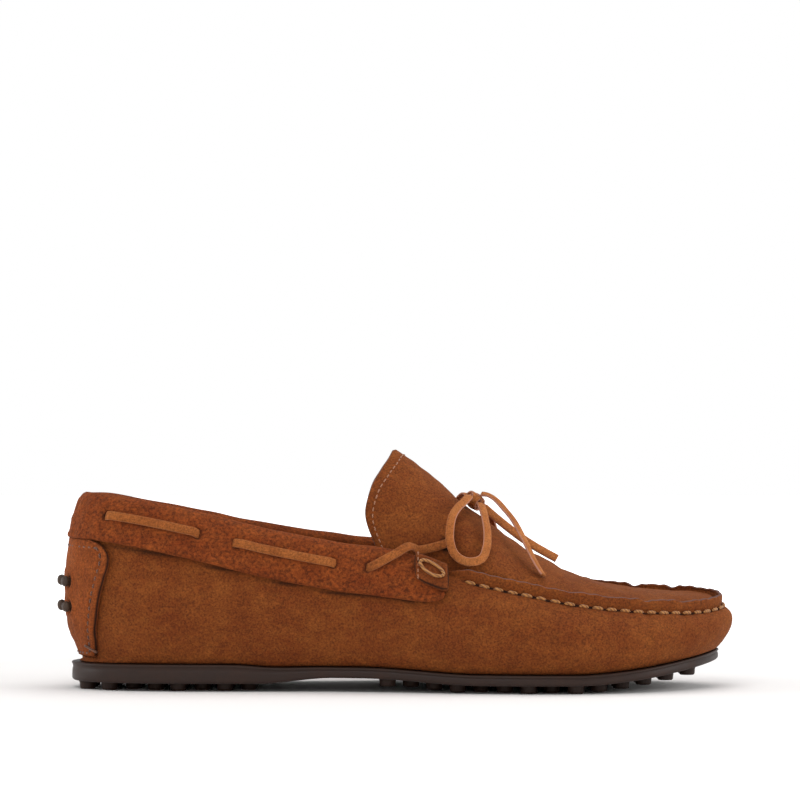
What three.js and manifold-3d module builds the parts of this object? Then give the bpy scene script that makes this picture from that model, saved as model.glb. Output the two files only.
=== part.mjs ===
// A driving moccasin in brown suede: the right shoe of a men's pair.
// Millimetres. +X runs to the toe, +Z is up and -Y is the outer (lateral) side of the foot.
// The leather shell wraps right round under the foot, the apron is sewn into it by hand, and a
// flat lace runs through a folded collar to a bow on the instep. The rubber sole has round studs.

import * as THREE from 'three';
import { mergeVertices } from 'three/addons/utils/BufferGeometryUtils.js';
import Module from 'manifold-3d';

const wasm = await Module();
wasm.setup();

// ---- Driving dimensions: the last -------------------------------------------------------------

const SHOE_LENGTH = 286;
const BALL_WIDTH = 100;
const BACK_HEIGHT = 84;
const INSTEP_HEIGHT = 84;
const PART_GAP = 0.3;
const LAYER_GAP = 0.5;
const COLUMNS = 60;

// ---- Driving dimensions: the rubber sole ------------------------------------------------------

const STUD_HEIGHT = 3.4;
const STUD_DIAMETER = 6.9;
const STUD_PITCH = 11.4;
const STUD_SIDES = 8;
const STUD_EDGE = 5.2;
const HEEL_STUDS_END = 91;
const FORE_STUDS_START = 131;
const HEEL_SOLE = 8;
const FORE_SOLE = 4.5;
const ARCH_RISE = 2.6;
const TOE_SPRING = 8.5;
const RIM_INSET = 2.4;
const HEEL_RIM_INSET = 0.2;
const RIM_FLARE = 1.8;
const TOE_OVERHANG = 4;
const FEATHER_INSET = 3;
const TOE_FEATHER_INSET = 0.6;

// ---- Driving dimensions: leather, linings and footbed -----------------------------------------

const WALL = 1.8;
const LIP_HEIGHT = 4.7;
const LIP_START = 158;
const LIP_FULL = 174;
const LINING = 1;
const COUNTER = 1;
const COUNTER_LENGTH = 62;
const INSOLE_BOARD = 1.5;
const FOOTBED_FOAM = 3;
const SOCK_LINER = 1;
const FOOTBED_INSET = 4.2;
const APRON = 1.6;
const FLAP_LINING = 0.8;

// ---- Driving dimensions: collar, lace and tabs ------------------------------------------------

const COLLAR_DROP = 20;
const COLLAR_SKIN = 1.3;
const COLLAR_END = 150.5;
const COLLAR_CORNER = 14;
const COLLAR_CORNER_DROP = 12.4;
const LACE_WIDTH = 3.5;
const LACE_THICKNESS = 1.2;
const LACE_DROP = 8.7;
const LACE_RAMP = 8;
const LACE_SHOWS = [[26.5, 54], [80.5, 111]];
const LACE_LEAVES = 133;
const SLOT_LENGTH = 10.5;
const SLOT_CLEARANCE = 0.5;
const TAB_START = 148.6;
const TAB_END = 162;
const TAB_TOP = -1.2;
const TAB_DROP = 9.5;
const TAB_THICKNESS = 1.6;
const TAB_THREAD = 1.1;
const TAB_LOOP = [8.4, 6];

// ---- Driving dimensions: heel patch and pebbles -----------------------------------------------

const PATCH_LEATHER = 1.2;
const PEBBLE_PLATE = 0.8;
const PEBBLE_DIAMETER = 4.6;
const PEBBLE_PROUD = 3.1;
const PEBBLE_SPACING = 13;
const PEBBLE_HEIGHTS = [46, 35.5];
const PATCH_THREAD = 0.8;
const PATCH_STITCH_INSET = 4;

// ---- Driving dimensions: tongue flap and bow --------------------------------------------------

const HINGE_X = 160;
const HINGE_BOW = 5;
const FLAP_GAP = 0.6;
const FLAP_SIDE_GAP = 3.2;
const TONGUE_CLEARANCE = 2.6;
const TONGUE_DEPTH = 9;
const SEAM_THREAD = 1.6;
const HEM_THREAD = 0.5;
const HEM_INSET = 3;
const KNOT_X = 173;
const KNOT_SIZE = [11, 12, 5.5];
const LACE_HOLE_DIAMETER = 7.4;
const EYELET_DIAMETER = 4.8;

// ---- Small helpers ----------------------------------------------------------------------------

const { lerp, clamp, smoothstep } = THREE.MathUtils;
const UP = new THREE.Vector3(0, 0, 1);

/** Millimetres along the shoe for a percentage of its length. */
const along = (percent) => (percent * SHOE_LENGTH) / 100;

/** Millimetres off the centre line for a percentage of half the ball width. */
const across = (percent) => (percent * BALL_WIDTH) / 200;

/** A point a named distance from another along a direction. */
const shifted = (point, direction, distance) => point.clone().addScaledVector(direction, distance);

/** The parameter between low and high at which a rising function reaches a value. */
function solve(rising, value, low, high) {
  for (let step = 0; step < 40; step += 1) {
    const middle = (low + high) / 2;
    if (rising(middle) < value) low = middle;
    else high = middle;
  }
  return (low + high) / 2;
}

/** Turn a list of triangle corners into one closed geometry that faces outwards. */
function closedGeometry(corners) {
  const loose = new THREE.BufferGeometry();
  const numbers = corners.flatMap((corner) => corner.toArray());
  loose.setAttribute('position', new THREE.Float32BufferAttribute(numbers, 3));
  const geometry = mergeVertices(loose, 1e-3);
  const spots = geometry.getAttribute('position');
  const order = geometry.getIndex().array;
  const kept = [];
  const [a, b, c] = [new THREE.Vector3(), new THREE.Vector3(), new THREE.Vector3()];
  let volume = 0;
  for (let i = 0; i < order.length; i += 3) {
    const [p, q, r] = order.slice(i, i + 3);
    if (p === q || q === r || r === p) continue;
    kept.push(p, q, r);
    a.fromBufferAttribute(spots, p);
    b.fromBufferAttribute(spots, q);
    c.fromBufferAttribute(spots, r);
    volume += a.dot(b.cross(c));
  }
  if (volume < 0) kept.reverse();
  geometry.setIndex(kept);
  return geometry;
}

/** Add the two triangles of a four-cornered face. */
function addQuad(corners, a, b, c, d) {
  corners.push(a, b, c, a, c, d);
}

/** Add the faces between neighbouring columns of a grid, closing the last column onto the first. */
function addGrid(corners, grid, wrapped, flipped) {
  const last = wrapped ? grid.length : grid.length - 1;
  for (let i = 0; i < last; i += 1) {
    const near = grid[i];
    const far = grid[(i + 1) % grid.length];
    for (let j = 0; j + 1 < near.length; j += 1) {
      if (flipped) addQuad(corners, near[j], near[j + 1], far[j + 1], far[j]);
      else addQuad(corners, near[j], far[j], far[j + 1], near[j + 1]);
    }
  }
}

/** A skin between an outer and an inner grid of [column][row] points, closed along its edges. */
function skin(outer, inner, { wrapped = false, openStart = false } = {}) {
  const corners = [];
  addGrid(corners, outer, wrapped, false);
  addGrid(corners, inner, wrapped, true);
  const rows = outer[0].length;
  const rims = openStart ? [rows - 1] : [0, rows - 1];
  for (const row of rims) {
    const rim = outer.map((column, i) => [column[row], inner[i][row]]);
    addGrid(corners, rim, wrapped, row === 0);
  }
  if (!wrapped) {
    for (const end of [0, outer.length - 1]) {
      const cap = [outer[end], inner[end]];
      addGrid(corners, cap, false, end === 0);
    }
  }
  return closedGeometry(corners);
}

/** A bar through closed sections, each a list of points, with a fan over either end. */
function bar(sections) {
  const corners = [];
  const loops = sections.map((section) => [...section, section[0]]);
  addGrid(corners, loops, false, false);
  for (const end of [0, sections.length - 1]) {
    const ring = sections[end];
    for (let j = 1; j + 1 < ring.length; j += 1) {
      if (end === 0) corners.push(ring[0], ring[j], ring[j + 1]);
      else corners.push(ring[0], ring[j + 1], ring[j]);
    }
  }
  return closedGeometry(corners);
}

/** A round thread or cord swept along a smooth line through the given points. */
function roundCord(points, diameter, steps, sides) {
  const section = new THREE.Shape();
  for (let side = 0; side < sides; side += 1) {
    const angle = (side * 2 * Math.PI) / sides;
    const [x, y] = [(Math.cos(angle) * diameter) / 2, (Math.sin(angle) * diameter) / 2];
    if (side === 0) section.moveTo(x, y);
    else section.lineTo(x, y);
  }
  const extrudePath = new THREE.CatmullRomCurve3(points, false, 'centripetal');
  const swept = new THREE.ExtrudeGeometry(section, { steps, extrudePath, bevelEnabled: false });
  return closedFrom(swept);
}

/** A round thread that runs in a ring through the given points. */
function threadRing(points, diameter, steps, sides) {
  const curve = new THREE.CatmullRomCurve3(points, true, 'centripetal');
  const middle = new THREE.Box3().setFromPoints(points).getCenter(new THREE.Vector3());
  const rings = Array.from({ length: steps }, (_, i) => {
    const point = curve.getPoint(i / steps);
    const run = curve.getTangent(i / steps);
    const out = point.clone().sub(middle).projectOnPlane(run).normalize();
    const rise = new THREE.Vector3().crossVectors(run, out);
    const ring = Array.from({ length: sides }, (_, side) => {
      const angle = (side * 2 * Math.PI) / sides;
      const reach = shifted(point, out, (Math.cos(angle) * diameter) / 2);
      return reach.addScaledVector(rise, (Math.sin(angle) * diameter) / 2);
    });
    return [...ring, ring[0]];
  });
  const corners = [];
  addGrid(corners, rings, true, false);
  return closedGeometry(corners);
}

/** The same geometry with its doubled corners joined and nothing but positions left. */
function closedFrom(geometry) {
  const loose = geometry.index ? geometry.toNonIndexed() : geometry;
  const spots = loose.getAttribute('position');
  const corners = [];
  for (let i = 0; i < spots.count; i += 1) {
    corners.push(new THREE.Vector3().fromBufferAttribute(spots, i));
  }
  return closedGeometry(corners);
}

/** A manifold solid made from a closed three.js geometry. */
function solidOf(geometry) {
  const merged = closedFrom(geometry);
  return new wasm.Manifold(
    new wasm.Mesh({
      numProp: 3,
      vertProperties: merged.getAttribute('position').array,
      triVerts: new Uint32Array(merged.getIndex().array),
    }),
  );
}

/** The three.js geometry of a manifold solid. */
function geometryOf(solid) {
  const { vertProperties, triVerts } = solid.getMesh();
  const geometry = new THREE.BufferGeometry();
  geometry.setAttribute('position', new THREE.BufferAttribute(new Float32Array(vertProperties), 3));
  geometry.setIndex(new THREE.BufferAttribute(new Uint32Array(triVerts), 1));
  return geometry;
}

/** Cut every tool out of a body, or join every tool to it. */
const cutAway = (body, tools) =>
  geometryOf(tools.reduce((solid, tool) => solid.subtract(solidOf(tool)), solidOf(body)));
const joined = (body, extras) =>
  geometryOf(extras.reduce((solid, extra) => solid.add(solidOf(extra)), solidOf(body)));

/** A cylinder centred on a point, with its axis along a direction. */
function pegAt(point, direction, diameter, length, sides = 10) {
  const peg = new THREE.CylinderGeometry(diameter / 2, diameter / 2, length, sides);
  const turn = new THREE.Quaternion().setFromUnitVectors(new THREE.Vector3(0, 1, 0), direction);
  return peg.applyQuaternion(turn).translate(point.x, point.y, point.z);
}

// ---- The last: outline, top edge and levels ---------------------------------------------------

// The widest outline, from the middle of the heel along the outer side to the toe and back along
// the inner side: [% of the length, % of half the ball width].
const WIDEST = [
  [0.5, 0], [1.6, -27.5], [4.6, -49.5], [10, -63.5], [19, -69.5], [29, -70.5], [40, -73.5], [50, -83],
  [60, -94.5], [69, -101], [77, -99], [85, -86.5], [91.5, -66], [96.6, -41.5], [99.5, -13],
  [100.4, 13], [99.3, 38.5], [95.9, 61.5], [90, 79], [82.5, 92], [74, 99], [66, 99], [58, 92.5],
  [49, 82], [39, 73], [28, 69.5], [18, 67.5], [9.5, 61], [4.4, 47.5], [1.6, 26.5],
];

// The top edge of the shell at the same stations: the topline as far as the tabs, then the line
// of the apron stitches: [% of the length, % of half the ball width, % of the back height].
const TOP_EDGE = [
  [2.7, 0, 98], [3.3, -21, 98], [5.9, -38, 97.4], [11.5, -48.5, 94.4], [20.5, -54, 88],
  [30.5, -58, 79.9], [41, -63, 73.2], [50, -69.5, 68.8], [58.7, -77, 57.5], [68.5, -85, 49.9],
  [77, -83, 44.4], [84.8, -71, 41.5], [91, -53, 40.2], [95.3, -33, 40.1], [98, -11, 41.6],
  [98.5, 11, 42.6], [97.7, 32, 43.8], [94.5, 50, 44.6], [89, 65, 45], [82, 77, 47.3],
  [74, 84, 51.4], [66, 84.5, 55.8], [57.5, 77, 62], [49.5, 68.5, 71], [41, 62.5, 75.2],
  [30.5, 58, 80.6], [20.5, 53.5, 87.4], [11.5, 48, 93.4], [5.9, 37, 96.8], [3.3, 20, 97.8],
];

// The ridge of the instep from the tip of the tongue to the toe:
// [% of the length, % of the instep height].
const RIDGE = [
  [44.8, 135], [50.3, 120], [55.2, 107.5], [59.1, 95.5], [63.3, 85.2], [68.5, 72.1],
  [73.6, 62.4], [76.3, 58], [79.9, 54.2], [83.6, 51.4], [87.2, 49.3], [91.6, 47.5],
  [95.1, 46.6], [99, 45.2],
];

const TOE_STATION = 0.5;
const widest = new THREE.CatmullRomCurve3(
  WIDEST.map(([x, y]) => new THREE.Vector3(along(x), across(y), 0)), true, 'centripetal');
const topEdge = new THREE.CatmullRomCurve3(
  TOP_EDGE.map(([x, y, z]) => new THREE.Vector3(along(x), across(y), (z * BACK_HEIGHT) / 100)),
  true, 'centripetal');
const ridge = new THREE.CatmullRomCurve3(
  RIDGE.map(([x, z]) => new THREE.Vector3(along(x), 0, (z * INSTEP_HEIGHT) / 100)),
  false, 'centripetal');

/** The station reduced to the range from 0 to 1. */
const wrapStation = (station) => station - Math.floor(station);

/** The outward direction of the widest outline at a station, level with the ground. */
function outwardAt(station) {
  const tangent = widest.getTangent(wrapStation(station));
  return new THREE.Vector3(tangent.y, -tangent.x, 0).normalize();
}

/** The height of the underside of the sole plate at a distance along the shoe. */
function soleBottom(x) {
  const arch = smoothstep(x, along(29), along(40)) * (1 - smoothstep(x, along(44), along(62)));
  const spring = clamp((x - along(76)) / along(22), 0, 1) ** 1.6;
  return STUD_HEIGHT + ARCH_RISE * arch + TOE_SPRING * spring;
}

/** The height of the top of the sole plate at a distance along the shoe. */
function soleTop(x) {
  const thickness = lerp(HEEL_SOLE, FORE_SOLE, smoothstep(x, along(24), along(41)));
  return soleBottom(x) + thickness;
}

/** How far the sole rim lies inside the widest outline. */
const rimInset = (x) => lerp(HEEL_RIM_INSET, RIM_INSET, smoothstep(x, 0, along(8)))
  + TOE_OVERHANG * smoothstep(x, along(86), along(99));

/** How far the shell's bottom edge lies inside the sole rim. */
const featherInset = (x) =>
  lerp(FEATHER_INSET, TOE_FEATHER_INSET, smoothstep(x, along(88), along(98)));

/** How far up the wall its widest line lies, as a share of its height. */
const widestShare = (x) => lerp(0.53, 0.6, smoothstep(x, along(88), along(99)));

/** The bottom edge of the leather shell, where its wall meets its floor. */
function featherPoint(station) {
  const wide = widest.getPoint(wrapStation(station));
  const inset = rimInset(wide.x) + featherInset(wide.x);
  const edge = shifted(wide, outwardAt(station), -inset);
  edge.z = soleTop(edge.x) + PART_GAP;
  return edge;
}

/** The middle of the floor between a station and the one across from it. */
function spinePoint(station) {
  const here = featherPoint(station);
  const there = featherPoint(1 - station);
  const middle = here.add(there).multiplyScalar(0.5);
  middle.z = soleTop(middle.x) + PART_GAP;
  return middle;
}

/** The height of the turned-up edge above the stitches at a distance along the shoe. */
const lipHeight = (x) => LIP_HEIGHT * smoothstep(x, LIP_START, LIP_FULL);

/** A point of the shell's true outer wall: level 0 is its bottom edge and level 1 its top. */
function trueWall(station, level) {
  const bottom = featherPoint(station);
  const top = topEdge.getPoint(wrapStation(station));
  const wide = widest.getPoint(wrapStation(station));
  wide.z = lerp(bottom.z, top.z, widestShare(wide.x));
  const control = wide.multiplyScalar(2).addScaledVector(bottom, -0.5).addScaledVector(top, -0.5);
  const left = 1 - level;
  return bottom
    .multiplyScalar(left * left)
    .addScaledVector(control, 2 * left * level)
    .addScaledVector(top, level * level);
}

/** The outward normal of the true wall. */
function trueNormal(station, level) {
  const step = 1e-4;
  const low = clamp(level - step, 0, 1 - 2 * step);
  const rise = trueWall(station, low + 2 * step).sub(trueWall(station, low));
  const run = trueWall(station + step, level).sub(trueWall(station - step, level));
  const normal = rise.cross(run).normalize();
  return normal.dot(outwardAt(station)) < 0 ? normal.negate() : normal;
}

/** A point off the true wall: above level 1 it goes on upwards by (level - 1) times the wall. */
function offWall(station, level, offset) {
  if (level <= 1) return shifted(trueWall(station, level), trueNormal(station, level), offset);
  const rise = trueWall(station, 1).sub(trueWall(station, 0.99)).multiplyScalar(100);
  const top = offWall(station, 1, offset);
  return top.addScaledVector(rise, level - 1);
}

/**
 * A point off the wall as its flat facets run between the columns, so that every layer lies
 * parallel to every other, however many steps it has.
 */
function wallPoint(station, level, offset = 0) {
  const place = station * COLUMNS;
  const before = Math.floor(place + 1e-9);
  const share = place - before;
  const start = offWall(before / COLUMNS, level, offset);
  if (share < 1e-9) return start;
  return start.lerp(offWall((before + 1) / COLUMNS, level, offset), share);
}

/** The length of the wall from its bottom edge to its top edge, measured straight. */
const wallLength = (station) => trueWall(station, 0).distanceTo(trueWall(station, 1));

/** A point a distance below the top edge, as the collar, lace and tabs are placed. */
function dropPoint(station, drop, offset = 0) {
  return wallPoint(station, 1 - drop / wallLength(station), offset);
}

/** The station on one side (-1 outer, 1 inner) where the top edge passes a distance along. */
function stationAt(x, side) {
  const found = solve((station) => topEdge.getPoint(station).x, x, 0, TOE_STATION);
  if (side < 0) return found;
  return 1 - solve((station) => topEdge.getPoint(1 - station).x, x, 0, TOE_STATION - 1e-6);
}

/** The stations from one to another, with every column between them. */
function stationsBetween(start, end) {
  const stations = [start];
  for (let column = Math.floor(start * COLUMNS) + 1; column / COLUMNS < end - 1e-6; column += 1) {
    if (column / COLUMNS > start + 1e-6) stations.push(column / COLUMNS);
  }
  stations.push(end);
  return stations;
}

/** All the stations round the shoe. */
const roundStations = Array.from({ length: COLUMNS }, (_, column) => column / COLUMNS);

// ---- The rubber sole --------------------------------------------------------------------------

/** A plate with an outline of its own, closed across the middle of the shoe. */
function plate(inset, bottomInset, bottom, top) {
  const edge = (station, distance) => {
    const wide = widest.getPoint(wrapStation(station));
    return shifted(wide, outwardAt(station), -(rimInset(wide.x) + distance));
  };
  const middle = (station, distance) =>
    edge(station, distance).add(edge(1 - station, distance)).multiplyScalar(0.5);
  const raised = (point, height) => point.setZ(height(point.x));
  const grid = roundStations.map((station) => [
    raised(middle(station, bottomInset), bottom),
    raised(edge(station, bottomInset), bottom),
    raised(edge(station, inset), top),
    raised(middle(station, inset), top),
  ]);
  const corners = [];
  addGrid(corners, grid, true, false);
  return closedGeometry(corners);
}

/** The half of the sole outline that lies at a distance along: its lowest and highest y. */
function soleSpan(x) {
  const inset = RIM_INSET + RIM_FLARE;
  const edge = (station) => shifted(widest.getPoint(station), outwardAt(station), -inset);
  const outer = solve((station) => edge(station).x, x, 0, TOE_STATION);
  const inner = 1 - solve((station) => edge(1 - station).x, x, 0, TOE_STATION - 1e-6);
  return [edge(outer).y, edge(inner).y];
}

/** The middles of the round studs, in staggered rows under the heel and under the forefoot. */
function studPlaces() {
  const places = [];
  const firstRow = RIM_INSET + RIM_FLARE + STUD_EDGE;
  const lastRow = SHOE_LENGTH - TOE_OVERHANG - firstRow;
  const rowStep = STUD_PITCH * Math.sin(Math.PI / 3);
  for (let row = 0; firstRow + row * rowStep <= lastRow; row += 1) {
    const x = firstRow + row * rowStep;
    if (x > HEEL_STUDS_END - STUD_DIAMETER / 2 && x < FORE_STUDS_START + STUD_DIAMETER / 2) continue;
    const [low, high] = soleSpan(x);
    const middle = (low + high) / 2;
    const room = (high - low) / 2 - STUD_EDGE;
    const stagger = row % 2 === 0 ? 0 : STUD_PITCH / 2;
    const reach = Math.ceil(BALL_WIDTH / STUD_PITCH);
    for (let column = -reach; column <= reach; column += 1) {
      const offset = column * STUD_PITCH + stagger;
      if (Math.abs(offset) <= room) places.push([x, middle + offset]);
    }
  }
  return places;
}

/** The moulded rubber sole: a plate with a flared rim and round studs below it. */
function makeOutsole() {
  const soleplate = plate(0, RIM_FLARE, soleBottom, soleTop);
  const rooting = 1.5;
  const studs = studPlaces().map(([x, y]) => {
    const top = soleBottom(x) + rooting;
    const bottom = soleBottom(x) - STUD_HEIGHT;
    const middle = new THREE.Vector3(x, y, (top + bottom) / 2);
    return pegAt(middle, UP, STUD_DIAMETER, top - bottom, STUD_SIDES);
  });
  return joined(soleplate, studs);
}

// ---- The leather shell and what lies inside it ------------------------------------------------

const WALL_LEVELS = [0.1, 0.24, 0.4, 0.56, 0.72, 0.86, 1];

/** The shell at one station: across the floor, up the wall and up the lip at the apron seam. */
function shellColumn(station, offset) {
  const depth = -offset;
  const floor = spinePoint(station).addScaledVector(UP, depth);
  const corner = featherPoint(station).addScaledVector(UP, depth);
  corner.addScaledVector(outwardAt(station), -depth * 0.7);
  const wall = WALL_LEVELS.map((level) => wallPoint(station, level, offset));
  const top = wall[wall.length - 1];
  const lip = lipHeight(top.x);
  const lean = UP.clone().addScaledVector(outwardAt(station), 0.12);
  return [floor, corner, ...wall, shifted(top, lean, lip / 2), shifted(top, lean, lip)];
}

/** The one-piece leather shell that wraps round the foot and under it. */
function makeSideWall() {
  const outer = roundStations.map((station) => shellColumn(station, 0));
  const inner = roundStations.map((station) => shellColumn(station, -WALL));
  return skin(outer, inner, { wrapped: true, openStart: true });
}

/** How much further in the lining lies where the heel counter stands behind it. */
const counterRoom = (x) =>
  (COUNTER + LAYER_GAP) * (1 - smoothstep(x, COUNTER_LENGTH + 4, COUNTER_LENGTH + 34));

/** How far the lining's top edge lies below the top edge of the shell. */
const liningDrop = (x) => lerp(3, 6.5, smoothstep(x, LIP_START - 6, LIP_START + 4));

/** A grid of points off the wall from a bottom level up to a drop below the top edge. */
function wallBand(stations, bottomLevel, topDrop, rows, offset) {
  return stations.map((station) => {
    const topX = topEdge.getPoint(wrapStation(station)).x;
    const topLevel = 1 - topDrop(topX) / wallLength(station);
    return Array.from({ length: rows + 1 }, (_, row) =>
      wallPoint(station, lerp(bottomLevel, topLevel, row / rows), offset(topX)));
  });
}

/** The leather lining, all round inside the shell. */
function makeLining() {
  const outside = (x) => -(WALL + LAYER_GAP + counterRoom(x));
  const outer = wallBand(roundStations, 0.14, liningDrop, 5, outside);
  const inner = wallBand(roundStations, 0.14, liningDrop, 5, (x) => outside(x) - LINING);
  return skin(outer, inner, { wrapped: true });
}

/** The stiff counter that stands round the heel between the shell and the lining. */
function makeHeelCounter() {
  const start = stationAt(COUNTER_LENGTH, 1) - 1;
  const end = stationAt(COUNTER_LENGTH, -1);
  const stations = stationsBetween(start, end);
  const drop = () => 8;
  const outer = wallBand(stations, 0.16, drop, 5, () => -(WALL + LAYER_GAP));
  const inner = wallBand(stations, 0.16, drop, 5, () => -(WALL + LAYER_GAP + COUNTER));
  return skin(outer, inner);
}

const BOARD_BOTTOM = WALL + 2 * PART_GAP;
const FOAM_BOTTOM = BOARD_BOTTOM + INSOLE_BOARD + PART_GAP;
const SOCK_BOTTOM = FOAM_BOTTOM + FOOTBED_FOAM + PART_GAP;

/** One flat layer of the footbed, a height above the sole plate. */
function makeFootbedLayer(start, thickness) {
  const inset = FEATHER_INSET + FOOTBED_INSET;
  const bottom = (x) => soleTop(x) + start;
  const top = (x) => soleTop(x) + start + thickness;
  return plate(inset, inset, bottom, top);
}

// ---- The collar and the lace that runs through it ---------------------------------------------

// The collar's outer face from its lower edge over the topline to its inner edge: the drop below
// the top edge, and the distance off the wall of the face that lies against the shoe.
const CHANNEL = LACE_THICKNESS + 2.5 * PART_GAP;
const COLLAR_INSIDE_DROP = 11;

/** How far the collar's lower edge lies below the top edge, round its rounded front corner. */
function collarDrop(x) {
  const turn = clamp((x - COLLAR_END + COLLAR_CORNER) / COLLAR_CORNER, 0, 1);
  return lerp(COLLAR_CORNER_DROP, COLLAR_DROP, Math.sqrt(1 - turn * turn));
}

/** The drops and offsets of the collar's outer face at a distance along, from its lower edge up. */
function collarProfile(x) {
  const low = collarDrop(x);
  return [
    [low, PART_GAP],
    [Math.min(15, low - 0.8), CHANNEL * 0.8],
    [LACE_DROP + 2.5, CHANNEL],
    [LACE_DROP - 2.5, CHANNEL],
    [3, CHANNEL * 0.85],
    [0, 0.9],
  ];
}

/** The collar's section at one station, as its outer and inner paths. */
function collarSection(station) {
  const x = topEdge.getPoint(wrapStation(station)).x;
  const lined = WALL + LAYER_GAP + counterRoom(x) + LINING + LAYER_GAP;
  const covered = lined + COLLAR_SKIN;
  const profile = collarProfile(x);
  const face = profile.map(([drop, offset]) => dropPoint(station, drop, offset));
  const cover = profile.map(([drop, offset]) => dropPoint(station, drop, offset + COLLAR_SKIN));
  const top = -PART_GAP - 0.1;
  const crown = top - COLLAR_SKIN;
  face.push(dropPoint(station, top, 0), dropPoint(station, top, -WALL - 0.1));
  face.push(dropPoint(station, 2.2, -lined), dropPoint(station, COLLAR_INSIDE_DROP, -lined));
  cover.push(dropPoint(station, crown, 0.2), dropPoint(station, crown, -WALL));
  cover.push(dropPoint(station, 1, -covered), dropPoint(station, COLLAR_INSIDE_DROP, -covered));
  return { cover, face };
}

const INSIDE_COLLAR = PART_GAP + LACE_THICKNESS / 2 + 0.2;
const OUTSIDE_COLLAR = CHANNEL + COLLAR_SKIN + PART_GAP + LACE_THICKNESS / 2 + 0.15;

/** How far off the wall the middle of the lace lies at a distance along one side. */
function laceOffset(x) {
  const half = LACE_RAMP / 2;
  const shown = LACE_SHOWS.map(([start, end]) =>
    smoothstep(x, start - half, start + half) * (1 - smoothstep(x, end - half, end + half)));
  const leaving = smoothstep(x, LACE_LEAVES - half, LACE_LEAVES + half);
  return lerp(INSIDE_COLLAR, OUTSIDE_COLLAR, Math.max(...shown, leaving));
}

/** A slot through the collar's outer face where the lace goes in or comes out. */
function laceSlot(x, side) {
  const station = stationAt(x, side);
  const offset = CHANNEL + COLLAR_SKIN / 2;
  const middle = dropPoint(station, LACE_DROP, offset);
  const run = dropPoint(station + 0.004, LACE_DROP, offset)
    .sub(dropPoint(station - 0.004, LACE_DROP, offset)).normalize();
  const out = dropPoint(station, LACE_DROP, offset + 1).sub(middle).normalize();
  const rise = new THREE.Vector3().crossVectors(out, run).normalize();
  const facing = new THREE.Vector3().crossVectors(run, rise).normalize();
  const depth = COLLAR_SKIN + CHANNEL;
  const slot = new THREE.BoxGeometry(SLOT_LENGTH, LACE_WIDTH + 2 * SLOT_CLEARANCE, depth);
  slot.applyMatrix4(new THREE.Matrix4().makeBasis(run, rise, facing));
  return slot.translate(middle.x, middle.y, middle.z);
}

/** The folded collar round the topline, with the lace slots cut through it. */
function makeCollar() {
  const corner = [0.25, 0.5, 0.75].map((share) => COLLAR_END - COLLAR_CORNER * share * share);
  const stations = [
    ...stationsBetween(stationAt(COLLAR_END, 1) - 1, stationAt(COLLAR_END, -1)),
    ...corner.flatMap((x) => [stationAt(x, 1) - 1, stationAt(x, -1)]),
  ].sort((a, b) => a - b);
  const sections = stations.map(collarSection);
  const band = skin(sections.map(({ cover }) => cover), sections.map(({ face }) => face));
  const slots = [-1, 1].flatMap((side) =>
    [...LACE_SHOWS.flat(), LACE_LEAVES].map((x) => laceSlot(x, side)));
  return cutAway(band, slots);
}

// ---- The instep: apron and tongue over one arched form ----------------------------------------

/** How far the edge of the apron or tongue lies inside the top edge of the shell. */
function edgeInset(x) {
  const collarInside = WALL + LINING + 2 * LAYER_GAP + COLLAR_SKIN;
  return lerp(collarInside + TONGUE_CLEARANCE, WALL + 0.6, smoothstep(x, LIP_START, LIP_FULL));
}

/** The line that the edges of the apron and tongue follow, inside the shell's top edge. */
function flapEdge(station) {
  const top = topEdge.getPoint(wrapStation(station));
  const raise = lerp(-TONGUE_DEPTH, LIP_HEIGHT * 0.5, smoothstep(top.x, LIP_START, LIP_FULL));
  const edge = shifted(top, outwardAt(station), -edgeInset(top.x));
  edge.z += raise;
  return edge;
}

/** Both edges of the instep at a distance along the shoe: the outer one and the inner one. */
function flapEdges(x) {
  const outer = solve((station) => flapEdge(station).x, x, 0.1, TOE_STATION);
  const inner = 1 - solve((station) => flapEdge(1 - station).x, x, 0.1, TOE_STATION - 1e-6);
  return [flapEdge(outer), flapEdge(inner)];
}

/** The height of the ridge at a distance along the shoe. */
const ridgeHeight = (x) => ridge.getPoint(solve((share) => ridge.getPoint(share).x, x, 0, 1)).z;

const FLAP_TIP = Math.min(flapEdge(TOE_STATION - 0.02).x, flapEdge(TOE_STATION + 0.02).x) - 0.4;

/** A point of the instep: angle -90 is its outer edge, 0 its ridge and 90 its inner edge. */
function instepPoint(x, angle) {
  const [outer, inner] = flapEdges(Math.min(x, FLAP_TIP));
  const edge = angle < 0 ? outer : inner;
  const turn = THREE.MathUtils.degToRad(angle);
  const middle = (outer.y + inner.y) / 2;
  const halfWidth = Math.abs(edge.y - middle);
  const fullness = lerp(1.1, 1.75, smoothstep(x, along(57), along(74)));
  const rise = Math.max(0, Math.cos(turn)) ** fullness;
  const y = middle + halfWidth * Math.sin(turn);
  return new THREE.Vector3(x, y, edge.z + (ridgeHeight(x) - edge.z) * rise);
}

/** A point off the instep by a distance along its outward normal. */
function instepOff(x, angle, offset) {
  const point = instepPoint(x, angle);
  if (offset === 0) return point;
  const bounded = clamp(angle, -89, 89);
  const lengthwise = instepPoint(x + 0.5, bounded).sub(instepPoint(x - 0.5, bounded));
  const sideways = instepPoint(x, bounded + 1).sub(instepPoint(x, bounded - 1));
  const normal = lengthwise.cross(sideways).normalize();
  return point.addScaledVector(normal, offset);
}

const FLAP_ANGLES = Array.from({ length: 17 }, (_, i) => -90 + i * 11.25);

/** The distance along of the line where the tongue folds off the apron. */
function splitLine(angle, gap) {
  const side = 1 - Math.cos(THREE.MathUtils.degToRad(angle));
  return HINGE_X - HINGE_BOW * side - (gap ? FLAP_GAP + FLAP_SIDE_GAP * side : 0);
}

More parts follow.
